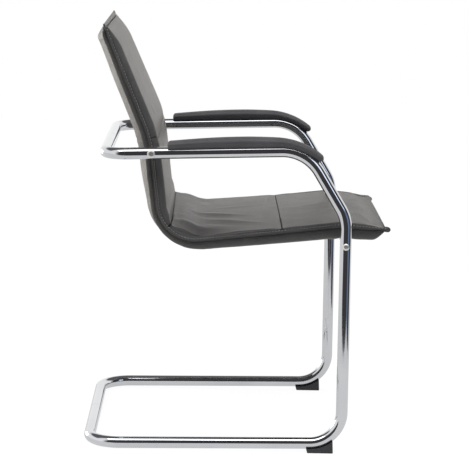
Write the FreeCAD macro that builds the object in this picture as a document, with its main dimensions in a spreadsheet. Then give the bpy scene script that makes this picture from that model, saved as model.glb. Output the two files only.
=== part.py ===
"""Cantilever conference chair: two bent half frames, a padded one-piece seat and back, and arm pads.

Millimetres. +Z is up, the sitter faces -Y and the sitter's left is +X. The origin is on the floor,
below the middle of the chair's box.
"""

import FreeCAD, Part
import math
import os

from FreeCAD import Placement, Rotation, Vector

RIGHT, LEFT = -1, 1
SIDES = {"right": RIGHT, "left": LEFT}
X_AXIS = Vector(1, 0, 0)
Y_AXIS = Vector(0, 1, 0)
Z_AXIS = Vector(0, 0, 1)

# Driving dimensions, each with the alias that the model binds to.
SIZES = {
    # Bent side tubes: stations of the centre line, then bend radii on the centre line
    "tube_dia": 25.0,
    "tube_wall": 2.0,
    "frame_width": 530.0,
    "base_rear_y": 312.0,
    "leg_foot_y": -228.0,
    "glide_lift": 7.1,
    "leg_lean": 0.45,
    "knee_height": 505.5,
    "arm_front_y": -138.0,
    "arm_front_height": 646.5,
    "arm_rear_y": 282.0,
    "arm_rear_height": 632.0,
    "base_bend": 68.0,
    "knee_bend": 80.0,
    "arm_bend": 90.0,
    "top_bend": 50.0,
    # Butt joints of the two half frames
    "joint_gap": 0.6,
    "spigot_length": 120.0,
    "spigot_wall": 3.0,
    "sliding_fit": 0.1,
    # Wedge glides under the front bends
    "glide_width": 28.0,
    "glide_rear_y": -153.0,
    "glide_front_y": -209.0,
    "glide_wrap": 2.3,
    "glide_slant": 2.5,
    "glide_corner": 2.0,
    "glide_screw_y": -182.0,
    "glide_recess": 3.4,
    # Screws
    "screw_dia": 6.0,
    "screw_play": 0.5,
    "leg_head_dia": 14.5,
    "back_head_dia": 16.5,
    "pad_head_dia": 12.0,
    "glide_head_dia": 9.0,
    "head_height": 3.4,
    "glide_head_height": 2.6,
    "head_rim": 1.2,
    "slot_width": 1.4,
    "slot_depth": 1.5,
    # Crossbar and plates under the seat
    "bar_dia": 14.0,
    "bar_wall": 1.5,
    "bar_plug_length": 22.0,
    "plate_width": 40.0,
    "plate_depth": 66.0,
    "plate_thick": 2.2,
    "plate_corner": 6.0,
    "plate_x": 110.0,
    "seat_screw_pitch": 44.0,
    # Seat and back: the line through the side seam, top to front, in the chair's middle plane
    "back_top_y": 287.0,
    "back_top_z": 891.0,
    "kink_y": 188.0,
    "kink_z": 660.0,
    "seat_rear_y": 161.7,
    "seat_rear_z": 440.3,
    "seat_rise_y": -215.0,
    "seat_rise_z": 485.0,
    "seat_front_y": -310.0,
    "seat_front_z": 477.5,
    "kink_radius": 250.0,
    "corner_radius": 80.0,
    "front_radius": 160.0,
    # Seams, measured along that line
    "crease_lift": 12.0,
    "rear_panel_depth": 176.0,
    "corner_seam_reach": 12.0,
    "seam_gap": 0.6,
    "seam_roll": 10.0,
    # Sides of the upholstery: clearance to the arm tubes, then how far other places draw in from there
    "side_clearance": 14.5,
    "top_inset": 24.0,
    "seat_inset": 0.0,
    "front_inset": 9.0,
    # Upholstery thicknesses, measured from the seam line
    "shell_thick": 11.0,
    "soft_gap": 0.3,
    "back_pad_thick": 17.0,
    "lower_pad_thick": 18.5,
    "seat_pad_thick": 8.5,
    "seat_bulge": 6.5,
    "bulge_reach": 45.0,
    "bulge_length": 96.0,
    "front_pad_thick": 8.5,
    "channel_depth": 3.0,
    "crease_thick": 9.5,
    "edge_thick": 4.2,
    "pad_crown": 4.5,
    "top_cover_thick": 27.0,
    "waist_cover_thick": 27.5,
    "kink_cover_thick": 28.5,
    "corner_cover_thick": 19.5,
    "seat_depth": 28.6,
    "flat_rear_y": -186.0,
    "pad_shoulder": 9.0,
    "back_shoulder": 24.0,
    "under_shoulder": 16.0,
    "side_bulge": 2.5,
    "welt_depth": 24.0,
    "welt_bulge": 2.5,
    "end_taper": 32.0,
    "top_flange_reach": 10.6,
    "top_ear_reach": 11.4,
    "front_flange_reach": 4.5,
    "front_ear_reach": 14.2,
    "flange_ear_width": 22.0,
    "flange_thick": 5.6,
    # Fixing of the back to the arms
    "insert_dia": 9.0,
    "insert_length": 26.0,
    "spacer_dia": 8.8,
    # Arm pads
    "pad_rear_y": 151.0,
    "pad_straight": 226.0,
    "pad_nose_radius": 125.0,
    "pad_nose_turn": 44.0,
    "pad_half_width": 23.0,
    "pad_rear_thick": 18.5,
    "pad_thick": 22.5,
    "pad_nose_thick": 16.0,
    "pad_end_round": 9.0,
    "pad_wrap": 4.3,
    "strip_length": 190.0,
    "strip_width": 18.0,
    "strip_thick": 4.0,
    "strip_lift": 1.5,
    "pad_screw_pitch": 130.0,
}

doc = FreeCAD.newDocument("conference_chair")
sheet = doc.addObject("Spreadsheet::Sheet", "Sizes")
for row, (alias, value) in enumerate(SIZES.items(), 1):
    sheet.set(f"A{row}", alias)
    sheet.set(f"B{row}", str(value))
    sheet.setAlias(f"B{row}", alias)
doc.recompute()


def size(alias):
    """The number that the sheet holds under an alias."""
    return float(sheet.get(alias))


def add(kind, name, **bound):
    """A new object of the document, with its properties bound to expressions of the sheet's cells."""
    item = doc.addObject(kind, name)
    for prop, expression in bound.items():
        item.setExpression(prop, expression)
    return item


def shaped(name, shape):
    """A feature that holds a shape worked out here."""
    item = doc.addObject("Part::Feature", name)
    item.Shape = shape
    return item


def rod(name, at, direction, radius, length):
    """A cylinder from a point along a direction, its radius and length bound to the sheet."""
    item = add("Part::Cylinder", name, Radius=radius, Height=length)
    item.Placement = Placement(at, Rotation(Z_AXIS, direction))
    return item


def group(name, items):
    """Separate solids kept together as one object."""
    item = doc.addObject("Part::Compound", name)
    item.Links = items
    return item


def cut(name, base, tools):
    """The base with every tool taken out of it."""
    item = doc.addObject("Part::Cut", name)
    item.Base = base
    item.Tool = tools[0] if len(tools) == 1 else group(name + "_tools", tools)
    return item


def bent_path(points, radii):
    """Edges of a path through points, each inner corner rounded to its radius."""
    edges = []
    start = points[0]
    for before, corner, after, radius in zip(points, points[1:], points[2:], radii):
        back = (before - corner).normalize()
        ahead = (after - corner).normalize()
        half = back.getAngle(ahead) / 2
        first = corner + back * (radius / math.tan(half))
        last = corner + ahead * (radius / math.tan(half))
        middle = corner + (back + ahead).normalize() * (radius / math.sin(half) - radius)
        edges.append(Part.LineSegment(start, first).toShape())
        edges.append(Part.Arc(first, middle, last).toShape())
        start = last
    edges.append(Part.LineSegment(start, points[-1]).toShape())
    return edges


def along(edges, distance):
    """The point and the unit tangent at a distance along a path, run on straight past its ends."""
    for edge in edges[:-1]:
        if distance <= edge.Length:
            break
        distance -= edge.Length
    else:
        edge = edges[-1]
    inside = min(max(distance, 0.0), edge.Length)
    where = edge.getParameterByLength(inside)
    tangent = edge.tangentAt(where).normalize()
    return edge.valueAt(where) + tangent * (distance - inside), tangent


def spread(start, end, step):
    """Even distances from a start to an end, about a step apart."""
    count = max(1, round((end - start) / step))
    return [start + (end - start) * number / count for number in range(count + 1)]


# Bent side tubes
tube_radius = size("tube_dia") / 2
half_frame = size("frame_width") / 2
foot_axis_z = tube_radius + size("glide_lift")
lean = math.tan(math.radians(size("leg_lean")))
arm_rear = Vector(0, size("arm_rear_y"), size("arm_rear_height"))
arm_front = Vector(0, size("arm_front_y"), size("arm_front_height"))
arm_ahead = (arm_front - arm_rear).normalize()
arm_up = Vector(0, arm_ahead.z, -arm_ahead.y)
BENDS = ("base_bend", "base_bend", "knee_bend", "arm_bend", "top_bend")


def leg_point(height):
    """The leg's axis at a height, in the chair's middle plane."""
    return Vector(0, size("leg_foot_y") + (height - foot_axis_z) * lean, height)


def arm_point(y):
    """The arm's axis at a depth, in the chair's middle plane."""
    return arm_rear + arm_ahead * ((y - arm_rear.y) / arm_ahead.y)


def side_path(side):
    """Centre line of one half frame, from the base joint round to the top joint."""
    out = X_AXIS * (half_frame * side)
    joint = X_AXIS * (size("joint_gap") / 2 * side)
    base_rear = Vector(0, size("base_rear_y"), tube_radius)
    stations = (leg_point(foot_axis_z), leg_point(size("knee_height")), arm_front, arm_rear)
    points = [base_rear + joint, base_rear + out]
    points += [station + out for station in stations]
    points += [arm_rear + joint]
    return bent_path(points, [size(bend) for bend in BENDS])


def swept_rod(name, spine, side, radius):
    """A solid round bar along a half frame's centre line."""
    ring = add("Part::Circle", name + "_ring", Radius=radius)
    start = spine.Shape.OrderedVertexes[0].Point
    ring.Placement = Placement(start, Rotation(Z_AXIS, X_AXIS * side))
    bar = doc.addObject("Part::Sweep", name)
    bar.Sections = [ring]
    bar.Spine = (spine, [f"Edge{n + 1}" for n in range(len(spine.Shape.Edges))])
    bar.Solid = True
    return bar


# Seat and back: the seam line and what is measured from it
seam_line = bent_path(
    [
        Vector(0, size("back_top_y"), size("back_top_z")),
        Vector(0, size("kink_y"), size("kink_z")),
        Vector(0, size("seat_rear_y"), size("seat_rear_z")),
        Vector(0, size("seat_rise_y"), size("seat_rise_z")),
        Vector(0, size("seat_front_y"), size("seat_front_z")),
    ],
    [size("kink_radius"), size("corner_radius"), size("front_radius")],
)
lengths = [edge.Length for edge in seam_line]
seam_end = sum(lengths)
kink_at = lengths[0] + lengths[1] / 2
corner_start = sum(lengths[:3])
corner_end = sum(lengths[:4])
crease_at = (corner_start + corner_end) / 2 - size("crease_lift")
seat_seam_at = corner_end + size("rear_panel_depth")
corner_seam_at = corner_end + size("corner_seam_reach")
half_seam = size("seam_gap") / 2
seat_under_z = size("seat_rise_z") - size("seat_depth")
SUNK = 3.0
roll = size("seam_roll")
FULL_RISE = 3.0
SECTION_STEP = 45.0


def seam_distance(low, high, before):
    """The distance along the seam line, between two others, where a test of its points stops holding."""
    while high - low > 1e-6:
        middle = (low + high) / 2
        if before(along(seam_line, middle)[0]):
            low = middle
        else:
            high = middle
    return low


def facing(tangent):
    """The direction square to the seam line that points to the sitter."""
    return Vector(0, tangent.z, -tangent.y)


def half_width(distance):
    """Half the upholstery's width at a distance along the seam line."""
    marks = (0, kink_at, seat_seam_at, seam_end)
    widest = half_frame - tube_radius - size("side_clearance")
    widths = [widest - inset for inset in (size("top_inset"), 0, size("seat_inset"), size("front_inset"))]
    for first, last, narrow, wide in zip(marks, marks[1:], widths, widths[1:]):
        if distance <= last:
            return narrow + (wide - narrow) * (distance - first) / (last - first)
    return widths[-1]


def core_half(distance):
    """Half the thickness of the shell and its welts, which thin out at the top and front edges."""
    near_end = min(distance, seam_end - distance)
    share = min(1.0, max(0.0, near_end / size("end_taper")))
    full = size("shell_thick") / 2
    thin = full / 5
    return thin + (full - thin) * share


def eased(distance, start, end, start_roll, end_roll):
    """How far a panel has risen from its seams: 0 at a seam, 1 past its rolled edge."""
    share = min((distance - start) / start_roll, (end - distance) / end_roll, 1.0)
    return math.sin(max(0.0, share) * math.pi / 2)


def panel_stations(start, end, start_roll, end_roll):
    """Distances of a panel's sections, close together at its rolled edges."""
    marks = [start + half_seam, end - half_seam]
    for share in (0.25, 0.55):
        marks += [start + start_roll * share, end - end_roll * share]
    return sorted(marks + spread(start + start_roll, end - end_roll, SECTION_STEP))


def section(distance, base, face, shoulder, crown):
    """A closed outline square to the seam line: flat base, rolled sides and a crowned or flat face.

    base and face are heights from the seam line, negative on the rear and underside.
    """
    point, tangent = along(seam_line, distance)
    up = facing(tangent)
    width = half_width(distance)
    foot = width - size("side_bulge")
    top = width - shoulder

    def place(x, height):
        return point + X_AXIS * x + up * height

    middle = base + (face - base) * 0.45
    side = width - (width - foot + shoulder) * 0.12
    outline = [
        Part.LineSegment(place(-foot, base), place(foot, base)),
        Part.Arc(place(foot, base), place(side, middle), place(top, face)),
        Part.Arc(place(top, face), place(0, face + crown), place(-top, face))
        if crown
        else Part.LineSegment(place(top, face), place(-top, face)),
        Part.Arc(place(-top, face), place(-side, middle), place(-foot, base)),
    ]
    return Part.Wire([edge.toShape() for edge in outline])


def lofted(name, outlines, straight=False):
    """A solid through closed outlines, smooth or straight from one to the next."""
    return shaped(name, Part.makeLoft(outlines, True, straight))


def slab(name, grown, first, last, reach):
    """The core's thickness, grown on both faces, over a run of the seam line and a width of twice reach."""
    bounds = [sum(lengths[:number]) for number in range(1, len(lengths))]
    bounds += [size("end_taper"), seam_end - size("end_taper"), 0, seam_end]
    marks = [first] + sorted(mark for mark in bounds if first < mark < last) + [last]

    def place(distance, sign):
        point, tangent = along(seam_line, distance)
        return point - X_AXIS * reach + facing(tangent) * (sign * (core_half(distance) + grown))

    edges = []
    for sign, run in ((1, marks), (-1, marks[::-1])):
        for start, end in zip(run, run[1:]):
            ends = place(start, sign), place(end, sign)
            turning = along(seam_line, start)[1].getAngle(along(seam_line, end)[1]) > 1e-6
            middle = place((start + end) / 2, sign)
            curve = Part.Arc(ends[0], middle, ends[1]) if turning else Part.LineSegment(*ends)
            edges.append(curve.toShape())
        edges.append(Part.LineSegment(place(run[-1], sign), place(run[-1], -sign)).toShape())
    return shaped(name, Part.Face(Part.Wire(edges)).extrude(X_AXIS * (2 * reach)))


def pad_panel(name, start, end, body, seams, rolls, bulge=None):
    """A crowned panel of the sitting side between two seams, fitted to the core.

    body and seams are its thickness at the start and end, away from the seams and on them, and
    bulge is what its filling adds between.
    """
    outlines = []
    for mark in panel_stations(start, end, *rolls):
        share = (mark - start) / (end - start)
        rise = eased(mark, start, end, *rolls)
        full = body[0] + (body[1] - body[0]) * share
        if bulge:
            full += bulge(mark)
        low = seams[0] if share < 0.5 else seams[1]
        face = low + (full - low) * rise
        base = max(0.0, core_half(mark) - SUNK)
        shoulder = size("pad_shoulder") * (0.35 + 0.65 * rise)
        outlines.append(section(mark, base, face, shoulder, size("pad_crown") * (0.25 + 0.75 * rise)))
    return cut(name, lofted(name + "_blank", outlines), [core_room])


def seat_drop(distance):
    """Thickness of the seat's underside: even at the rear, then down to one level flat."""
    point, tangent = along(seam_line, distance)
    rear_point = along(seam_line, corner_seam_at)[0]
    flat_y = size("flat_rear_y")
    rear_level = rear_point.z - size("corner_cover_thick")
    share = min(1.0, max(0.0, (rear_point.y - point.y) / (rear_point.y - flat_y)))
    level = rear_level + (seat_under_z - rear_level) * share
    return (point.z - level) / facing(tangent).z


def cover_panel(name, start, end, thickness, seams, rolls):
    """A padded panel of the rear or underside between two seams, flat across its middle."""
    outlines = []
    for mark in panel_stations(start, end, *rolls):
        share = (mark - start) / (end - start)
        rise = eased(mark, start, end, *rolls)
        full = thickness(mark)
        low = full - seams[0] if share < 0.5 else full - seams[1]
        face = low + (full - low) * rise
        base = max(0.0, core_half(mark) - SUNK)
        shoulder = cover_shoulder(mark) * (0.35 + 0.65 * rise)
        outlines.append(section(mark, -base, -face, shoulder, 0))
    return cut(name, lofted(name + "_blank", outlines), [core_room])


def flowing(marks, values):
    """A thickness that runs through values at distances, level at each of them."""

    def at(distance):
        for first, last, start, end in zip(marks, marks[1:], values, values[1:]):
            if distance <= last:
                share = (1 - math.cos(math.pi * (distance - first) / (last - first))) / 2
                return start + (end - start) * share
        return values[-1]

    return at


def edge_band(name, side, inset, crest):
    """A strip along one side of the upholstery, from an inset behind its edge to a rounded crest."""
    outlines = []
    for mark in spread(0, seam_end, SECTION_STEP):
        point, tangent = along(seam_line, mark)
        up = facing(tangent) * (core_half(mark) + SUNK)
        steps = (-inset, crest - size("welt_bulge") - 1, crest)
        inner, outer, peak = (X_AXIS * (side * (half_width(mark) + step)) for step in steps)
        outline = [
            Part.LineSegment(point + inner - up, point + outer - up),
            Part.Arc(point + outer - up, point + peak, point + outer + up),
            Part.LineSegment(point + outer + up, point + inner + up),
            Part.LineSegment(point + inner + up, point + inner - up),
        ]
        outlines.append(Part.Wire([edge.toShape() for edge in outline]))
    return lofted(name, outlines)


def common(name, base, tool):
    """What two solids share."""
    item = doc.addObject("Part::Common", name)
    item.Base = base
    item.Tool = tool
    return item


def edge_flange(name, distance, ahead_sign, plain_reach, ear_reach):
    """The pinched seam that stands out past the panels at the top or the front edge."""
    point, tangent = along(seam_line, distance)
    ahead = tangent * ahead_sign
    up = facing(tangent) * (size("flange_thick") / 2)
    width = half_width(distance) + size("welt_bulge")
    ear = width - size("flange_ear_width")
    outlines = []
    for x, reach in ((-width, ear_reach), (-ear, plain_reach), (ear, plain_reach), (width, ear_reach)):
        start = point + X_AXIS * x + ahead * size("soft_gap")
        shoulder = ahead * (reach - size("flange_thick") / 2)
        outline = [
            Part.LineSegment(start - up, start - up + shoulder),
            Part.Arc(start - up + shoulder, start + ahead * reach, start + up + shoulder),
            Part.LineSegment(start + up + shoulder, start + up),
            Part.LineSegment(start + up, start - up),
        ]
        outlines.append(Part.Wire([edge.toShape() for edge in outline]))
    return lofted(name, outlines, True)


def pan_screw(name, seat, outward, head_dia, head_height, length):
    """A pan-head screw, turned about its axis, with its head's underside at the seat point."""
    body = doc.addObject("PartDesign::Body", name)
    plane = next(item for item in body.Origin.OriginFeatures if item.Role == "XZ_Plane")
    sketch = body.newObject("Sketcher::SketchObject", name + "_half")
    sketch.AttachmentSupport = (plane, [""])
    sketch.MapMode = "FlatFace"
    head_radius, shank = head_dia / 2, size("screw_dia") / 2
    rim, flat = size("head_rim"), head_radius * 0.3
    corners = [
        Vector(flat, head_height, 0),
        Vector(0, head_height, 0),
        Vector(0, -length, 0),
        Vector(shank, -length, 0),
        Vector(shank, 0, 0),
        Vector(head_radius, 0, 0),
        Vector(head_radius, rim, 0),
    ]
    for first, last in zip(corners, corners[1:]):
        sketch.addGeometry(Part.LineSegment(first, last), False)
    crest = Vector(head_radius * 0.76, rim + (head_height - rim) * 0.72, 0)
    sketch.addGeometry(Part.Arc(corners[-1], crest, corners[0]), False)
    turned = body.newObject("PartDesign::Revolution", name + "_turned")
    turned.Profile = sketch
    turned.ReferenceAxis = (sketch, ["V_Axis"])
    turned.Angle = 360.0
    turn = Rotation(Z_AXIS, outward)
    body.Placement = Placement(seat, turn)
    slots = []
    for number, (long_side, short_side) in enumerate((("Length", "Width"), ("Width", "Length")), 1):
        slot = add("Part::Box", f"{name}_slot_{number}", Height="Sizes.slot_depth * 2")
        slot.setExpression(short_side, "Sizes.slot_width")
        setattr(slot, long_side, head_radius)
        reach = {long_side: head_radius / 2, short_side: size("slot_width") / 2}
        corner = Vector(-reach["Length"], -reach["Width"], head_height - size("slot_depth"))
        slot.Placement = Placement(seat + turn.multVec(corner), turn)
        slots.append(slot)
    return cut(f"{name}_slotted", body, slots)


NODES = {}


def node(name, item):
    """Registers an object as one of the chair's pieces."""
    item.Label = name
    NODES[name] = item


# Levels and places that several pieces share
plate_top_z = seat_under_z - size("soft_gap")
bar_z = plate_top_z - size("plate_thick") - size("bar_dia") / 2
bar_at = leg_point(bar_z)
back_fix_at = seam_distance(0, corner_start, lambda point: point.z > arm_point(point.y).z)
back_fix = arm_point(along(seam_line, back_fix_at)[0].y)
strip_middle_y = size("pad_rear_y") - size("pad_straight") / 2
pad_screw_ys = [strip_middle_y + size("pad_screw_pitch") / 2 * sign for sign in (-1, 1)]
play = "(Sizes.screw_dia + Sizes.screw_play) / 2"
neat = "(Sizes.screw_dia + Sizes.sliding_fit) / 2"
through = "Sizes.tube_dia * 2"
access = "Sizes.pad_head_dia / 2 + Sizes.screw_play"
shell_edge = half_width(back_fix_at) - size("welt_depth") - size("soft_gap")

# Side tubes, with the holes for their screws, and the room that other pieces leave round them
tube_room = {}
for label, side in SIDES.items():
    out = X_AXIS * (half_frame * side)
    spine = shaped(f"{label}_centre_line", Part.Wire(side_path(side)))
    outer = swept_rod(f"{label}_tube_outer", spine, side, "Sizes.tube_dia / 2")
    bore = swept_rod(f"{label}_tube_bore", spine, side, "Sizes.tube_dia / 2 - Sizes.tube_wall")
    tube_room[side] = swept_rod(f"{label}_tube_room", spine, side, "Sizes.tube_dia / 2 + Sizes.soft_gap")
    across = X_AXIS * size("tube_dia")
    drills = [
        rod(f"{label}_leg_drill", bar_at + out - across, X_AXIS, play, through),
        rod(f"{label}_back_drill", back_fix + out - across, X_AXIS, play, through),
    ]
    for number, y in enumerate(pad_screw_ys, 1):
        start = arm_point(y) + out
        drills.append(rod(f"{label}_pad_drill_{number}", start, arm_up, play, "Sizes.tube_dia"))
        drills.append(rod(f"{label}_pad_access_{number}", start, -arm_up, access, "Sizes.tube_dia"))
    glide_at = Vector(side * half_frame, size("glide_screw_y"), 0)
    drills.append(rod(f"{label}_glide_drill", glide_at, Z_AXIS, neat, "Sizes.tube_dia"))
    tube = cut(f"{label}_tube_plain", outer, [bore])
    node(f"{label}_side_tube", cut(f"{label}_tube", tube, drills))

# Spigots inside the two butt joints
for label, centre in (
    ("base", Vector(0, size("base_rear_y"), tube_radius)),
    ("top", arm_rear),
):
    start = centre - X_AXIS * (size("spigot_length") / 2)
    sleeve_radius = "Sizes.tube_dia / 2 - Sizes.tube_wall - Sizes.sliding_fit"
    hollow_radius = sleeve_radius + " - Sizes.spigot_wall"
    sleeve = rod(f"{label}_sleeve", start, X_AXIS, sleeve_radius, "Sizes.spigot_length")
    hollow = rod(f"{label}_hollow", start, X_AXIS, hollow_radius, "Sizes.spigot_length")
    node(f"{label}_joint_spigot", cut(f"{label}_spigot", sleeve, [hollow]))

# Wedge glides: a side outline that follows the bend, hollowed for the tube and recessed for a screw
glide_screws = []
for label, side in SIDES.items():
    bend = side_path(side)[3].Curve
    saddle = bend.Radius + tube_radius - size("glide_wrap")
    rear_y, front_y = size("glide_rear_y"), size("glide_front_y")
    slant, rounding = size("glide_slant"), size("glide_corner")
    x = half_frame * side

    def saddle_point(y):
        return Vector(x, y, bend.Center.z - math.sqrt(saddle ** 2 - (y - bend.Center.y) ** 2))

    level = saddle_point(bend.Center.y)
    rear_top = Vector(x, rear_y, level.z)
    front_top = saddle_point(front_y)
    floor = [Vector(x, rear_y - slant, 0), Vector(x, front_y - slant / 2, 0)]
    under = bent_path([rear_top] + floor + [front_top], [rounding, rounding])
    turn = saddle_point((bend.Center.y + front_y) / 2)
    roof = [
        Part.Arc(front_top, turn, level).toShape(),
        Part.LineSegment(level, rear_top).toShape(),
    ]
    outline = shaped(f"{label}_glide_outline", Part.Wire(under + roof))
    block = add("Part::Extrusion", f"{label}_glide_block", LengthFwd="Sizes.glide_width")
    block.Base = outline
    block.Dir = X_AXIS
    block.Symmetric = True
    block.Solid = True
    at = Vector(x, size("glide_screw_y"), 0)
    recess = rod(
        f"{label}_glide_recess",
        at,
        Z_AXIS,
        "Sizes.glide_head_dia / 2 + Sizes.soft_gap",
        "Sizes.glide_recess",
    )
    pilot = rod(f"{label}_glide_pilot", at, Z_AXIS, play, "Sizes.tube_dia")
    node(f"{label}_front_glide", cut(f"{label}_glide", block, [tube_room[side], recess, pilot]))
    seat = at + Z_AXIS * size("glide_recess")
    wall = bend.Center.z - math.sqrt((bend.Radius + tube_radius) ** 2 - (at.y - bend.Center.y) ** 2)
    reach = wall - seat.z + 2 * size("tube_wall")
    head = size("glide_head_dia"), size("glide_head_height")
    glide_screws.append(pan_screw(f"{label}_glide_screw", seat, -Z_AXIS, *head, reach))
node("glide_screws", group("glide_screw_pair", glide_screws))

# Crossbar between the legs, its threaded plugs and the screws through the legs
bar_half = half_frame - tube_radius - size("sliding_fit")
bar_start = bar_at - X_AXIS * bar_half
bar_length = "Sizes.frame_width - Sizes.tube_dia - 2 * Sizes.sliding_fit"
bar_blank = rod("bar_blank", bar_start, X_AXIS, "Sizes.bar_dia / 2", bar_length)
bar_bore = rod("bar_bore", bar_start, X_AXIS, "Sizes.bar_dia / 2 - Sizes.bar_wall", bar_length)
node("seat_crossbar", cut("bar_tube", bar_blank, [bar_bore]))
plug_radius = "Sizes.bar_dia / 2 - Sizes.bar_wall - Sizes.sliding_fit / 2"
plugs, leg_screws = [], []
for label, side in SIDES.items():
    end = bar_at + X_AXIS * (bar_half * side)
    inward = X_AXIS * -side
    plug = rod(f"{label}_plug_blank", end, inward, plug_radius, "Sizes.bar_plug_length")
    thread = rod(f"{label}_plug_thread", end, inward, neat, "Sizes.bar_plug_length")
    plugs.append(cut(f"{label}_plug", plug, [thread]))
    seat = bar_at + X_AXIS * ((half_frame + tube_radius) * side)
    reach = size("tube_dia") + size("bar_plug_length") * 0.8
    leg_screws.append(
        pan_screw(f"{label}_leg_screw", seat, X_AXIS * side, size("leg_head_dia"), size("head_height"), reach)
    )
node("crossbar_plugs", group("plug_pair", plugs))
node("leg_screws", group("leg_screw_pair", leg_screws))


def seat_plate(name, x):
    """A flat plate on the crossbar, rounded at its corners, with a hole before and behind the bar."""
    body = doc.addObject("PartDesign::Body", name)
    plane = next(item for item in body.Origin.OriginFeatures if item.Role == "XY_Plane")

    def sketch_on(suffix):
        sketch = body.newObject("Sketcher::SketchObject", name + suffix)
        sketch.AttachmentSupport = (plane, [""])
        sketch.MapMode = "FlatFace"
        return sketch

    outline = sketch_on("_outline")
    wide, deep = size("plate_width") / 2, size("plate_depth") / 2
    corner = size("plate_corner")
    ring = [Vector(0, -deep, 0), Vector(wide, -deep, 0), Vector(wide, deep, 0)]
    ring += [Vector(-wide, deep, 0), Vector(-wide, -deep, 0), Vector(0, -deep, 0)]
    for edge in bent_path(ring, [corner] * 4):
        ends = edge.firstVertex().Point, edge.lastVertex().Point
        middle = edge.valueAt((edge.FirstParameter + edge.LastParameter) / 2)
        curved = isinstance(edge.Curve, Part.Circle)
        sketch_edge = Part.Arc(ends[0], middle, ends[1]) if curved else Part.LineSegment(*ends)
        outline.addGeometry(sketch_edge, False)
    pad = body.newObject("PartDesign::Pad", name + "_sheet")
    pad.Profile = outline
    pad.setExpression("Length", "Sizes.plate_thick")
    doc.recompute()
    holes = sketch_on("_holes")
    for sign in (-1, 1):
        centre = Vector(0, sign * size("seat_screw_pitch") / 2, 0)
        holes.addGeometry(Part.Circle(centre, Z_AXIS, (size("screw_dia") + size("screw_play")) / 2), False)
    drilled = body.newObject("PartDesign::Pocket", name + "_drilled")
    drilled.Profile = holes
    drilled.Type = "ThroughAll"
    drilled.Reversed = True
    body.Placement = Placement(Vector(x, bar_at.y, plate_top_z - size("plate_thick")), Rotation())
    return body


for label, side in SIDES.items():
    node(f"{label}_seat_plate", seat_plate(f"{label}_plate", side * size("plate_x")))

# Seat screws, their inserts in the shell and the holes that they pass through
screw_places = [
    Vector(side * size("plate_x"), bar_at.y + sign * size("seat_screw_pitch") / 2, 0)
    for side in SIDES.values()
    for sign in (-1, 1)
]


def seam_at_depth(y):
    """The seam line's point and facing direction where the seat passes a depth."""
    distance = seam_distance(corner_end, seam_end, lambda point: point.y > y)
    point, tangent = along(seam_line, distance)
    return point, facing(tangent)


half_shell = size("shell_thick") / 2
seat_screws, seat_inserts, insert_rooms, screw_rooms = [], [], [], []
for number, place in enumerate(screw_places, 1):
    core, up = seam_at_depth(place.y)
    middle = Vector(place.x, core.y, core.z)
    foot = middle - Z_AXIS * (half_shell / up.z + size("screw_dia"))
    deep = "Sizes.shell_thick * 3"
    barrel = rod(f"seat_insert_blank_{number}", foot, Z_AXIS, "Sizes.insert_dia / 2", deep)
    hole = rod(f"seat_insert_hole_{number}", foot, Z_AXIS, neat, deep)
    room = rod(f"seat_insert_room_{number}", foot, Z_AXIS, "(Sizes.insert_dia + Sizes.sliding_fit) / 2", deep)
    insert_rooms.append(room)
    seat_inserts.append(cut(f"seat_insert_{number}", barrel, [hole]))
    seat = Vector(place.x, place.y, plate_top_z - size("plate_thick"))
    reach = middle.z + half_shell * 0.6 - seat.z
    seat_screws.append(
        pan_screw(f"seat_screw_{number}", seat, -Z_AXIS, size("pad_head_dia"), size("head_height"), reach)
    )
    screw_rooms.append(rod(f"seat_screw_room_{number}", seat, Z_AXIS, play, "Sizes.plate_depth"))
node("seat_screws", group("seat_screw_set", seat_screws))

# Shell, with its inserts trimmed flush to its faces
blank = slab("shell_blank", 0, size("end_taper"), seam_end - size("end_taper"), half_frame)
beside = [
    edge_band(f"{label}_welt_room", side, size("welt_depth") + size("soft_gap"), half_frame)
    for label, side in SIDES.items()
]
back_rooms = []
for label, side in SIDES.items():
    edge = back_fix + X_AXIS * ((shell_edge + 1) * side)
    inward = X_AXIS * -side
    room_radius = "(Sizes.insert_dia + Sizes.sliding_fit) / 2"
    back_rooms.append(rod(f"{label}_insert_room", edge, inward, room_radius, "Sizes.insert_length + 2"))
shell_sheet = cut("shell_sheet", blank, beside)
node("seat_shell", cut("shell_drilled", shell_sheet, insert_rooms + back_rooms))
flush = []
for number, insert in enumerate(seat_inserts, 1):
    flush.append(common(f"seat_insert_flush_{number}", insert, blank))
node("seat_inserts", group("seat_insert_set", flush))

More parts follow.
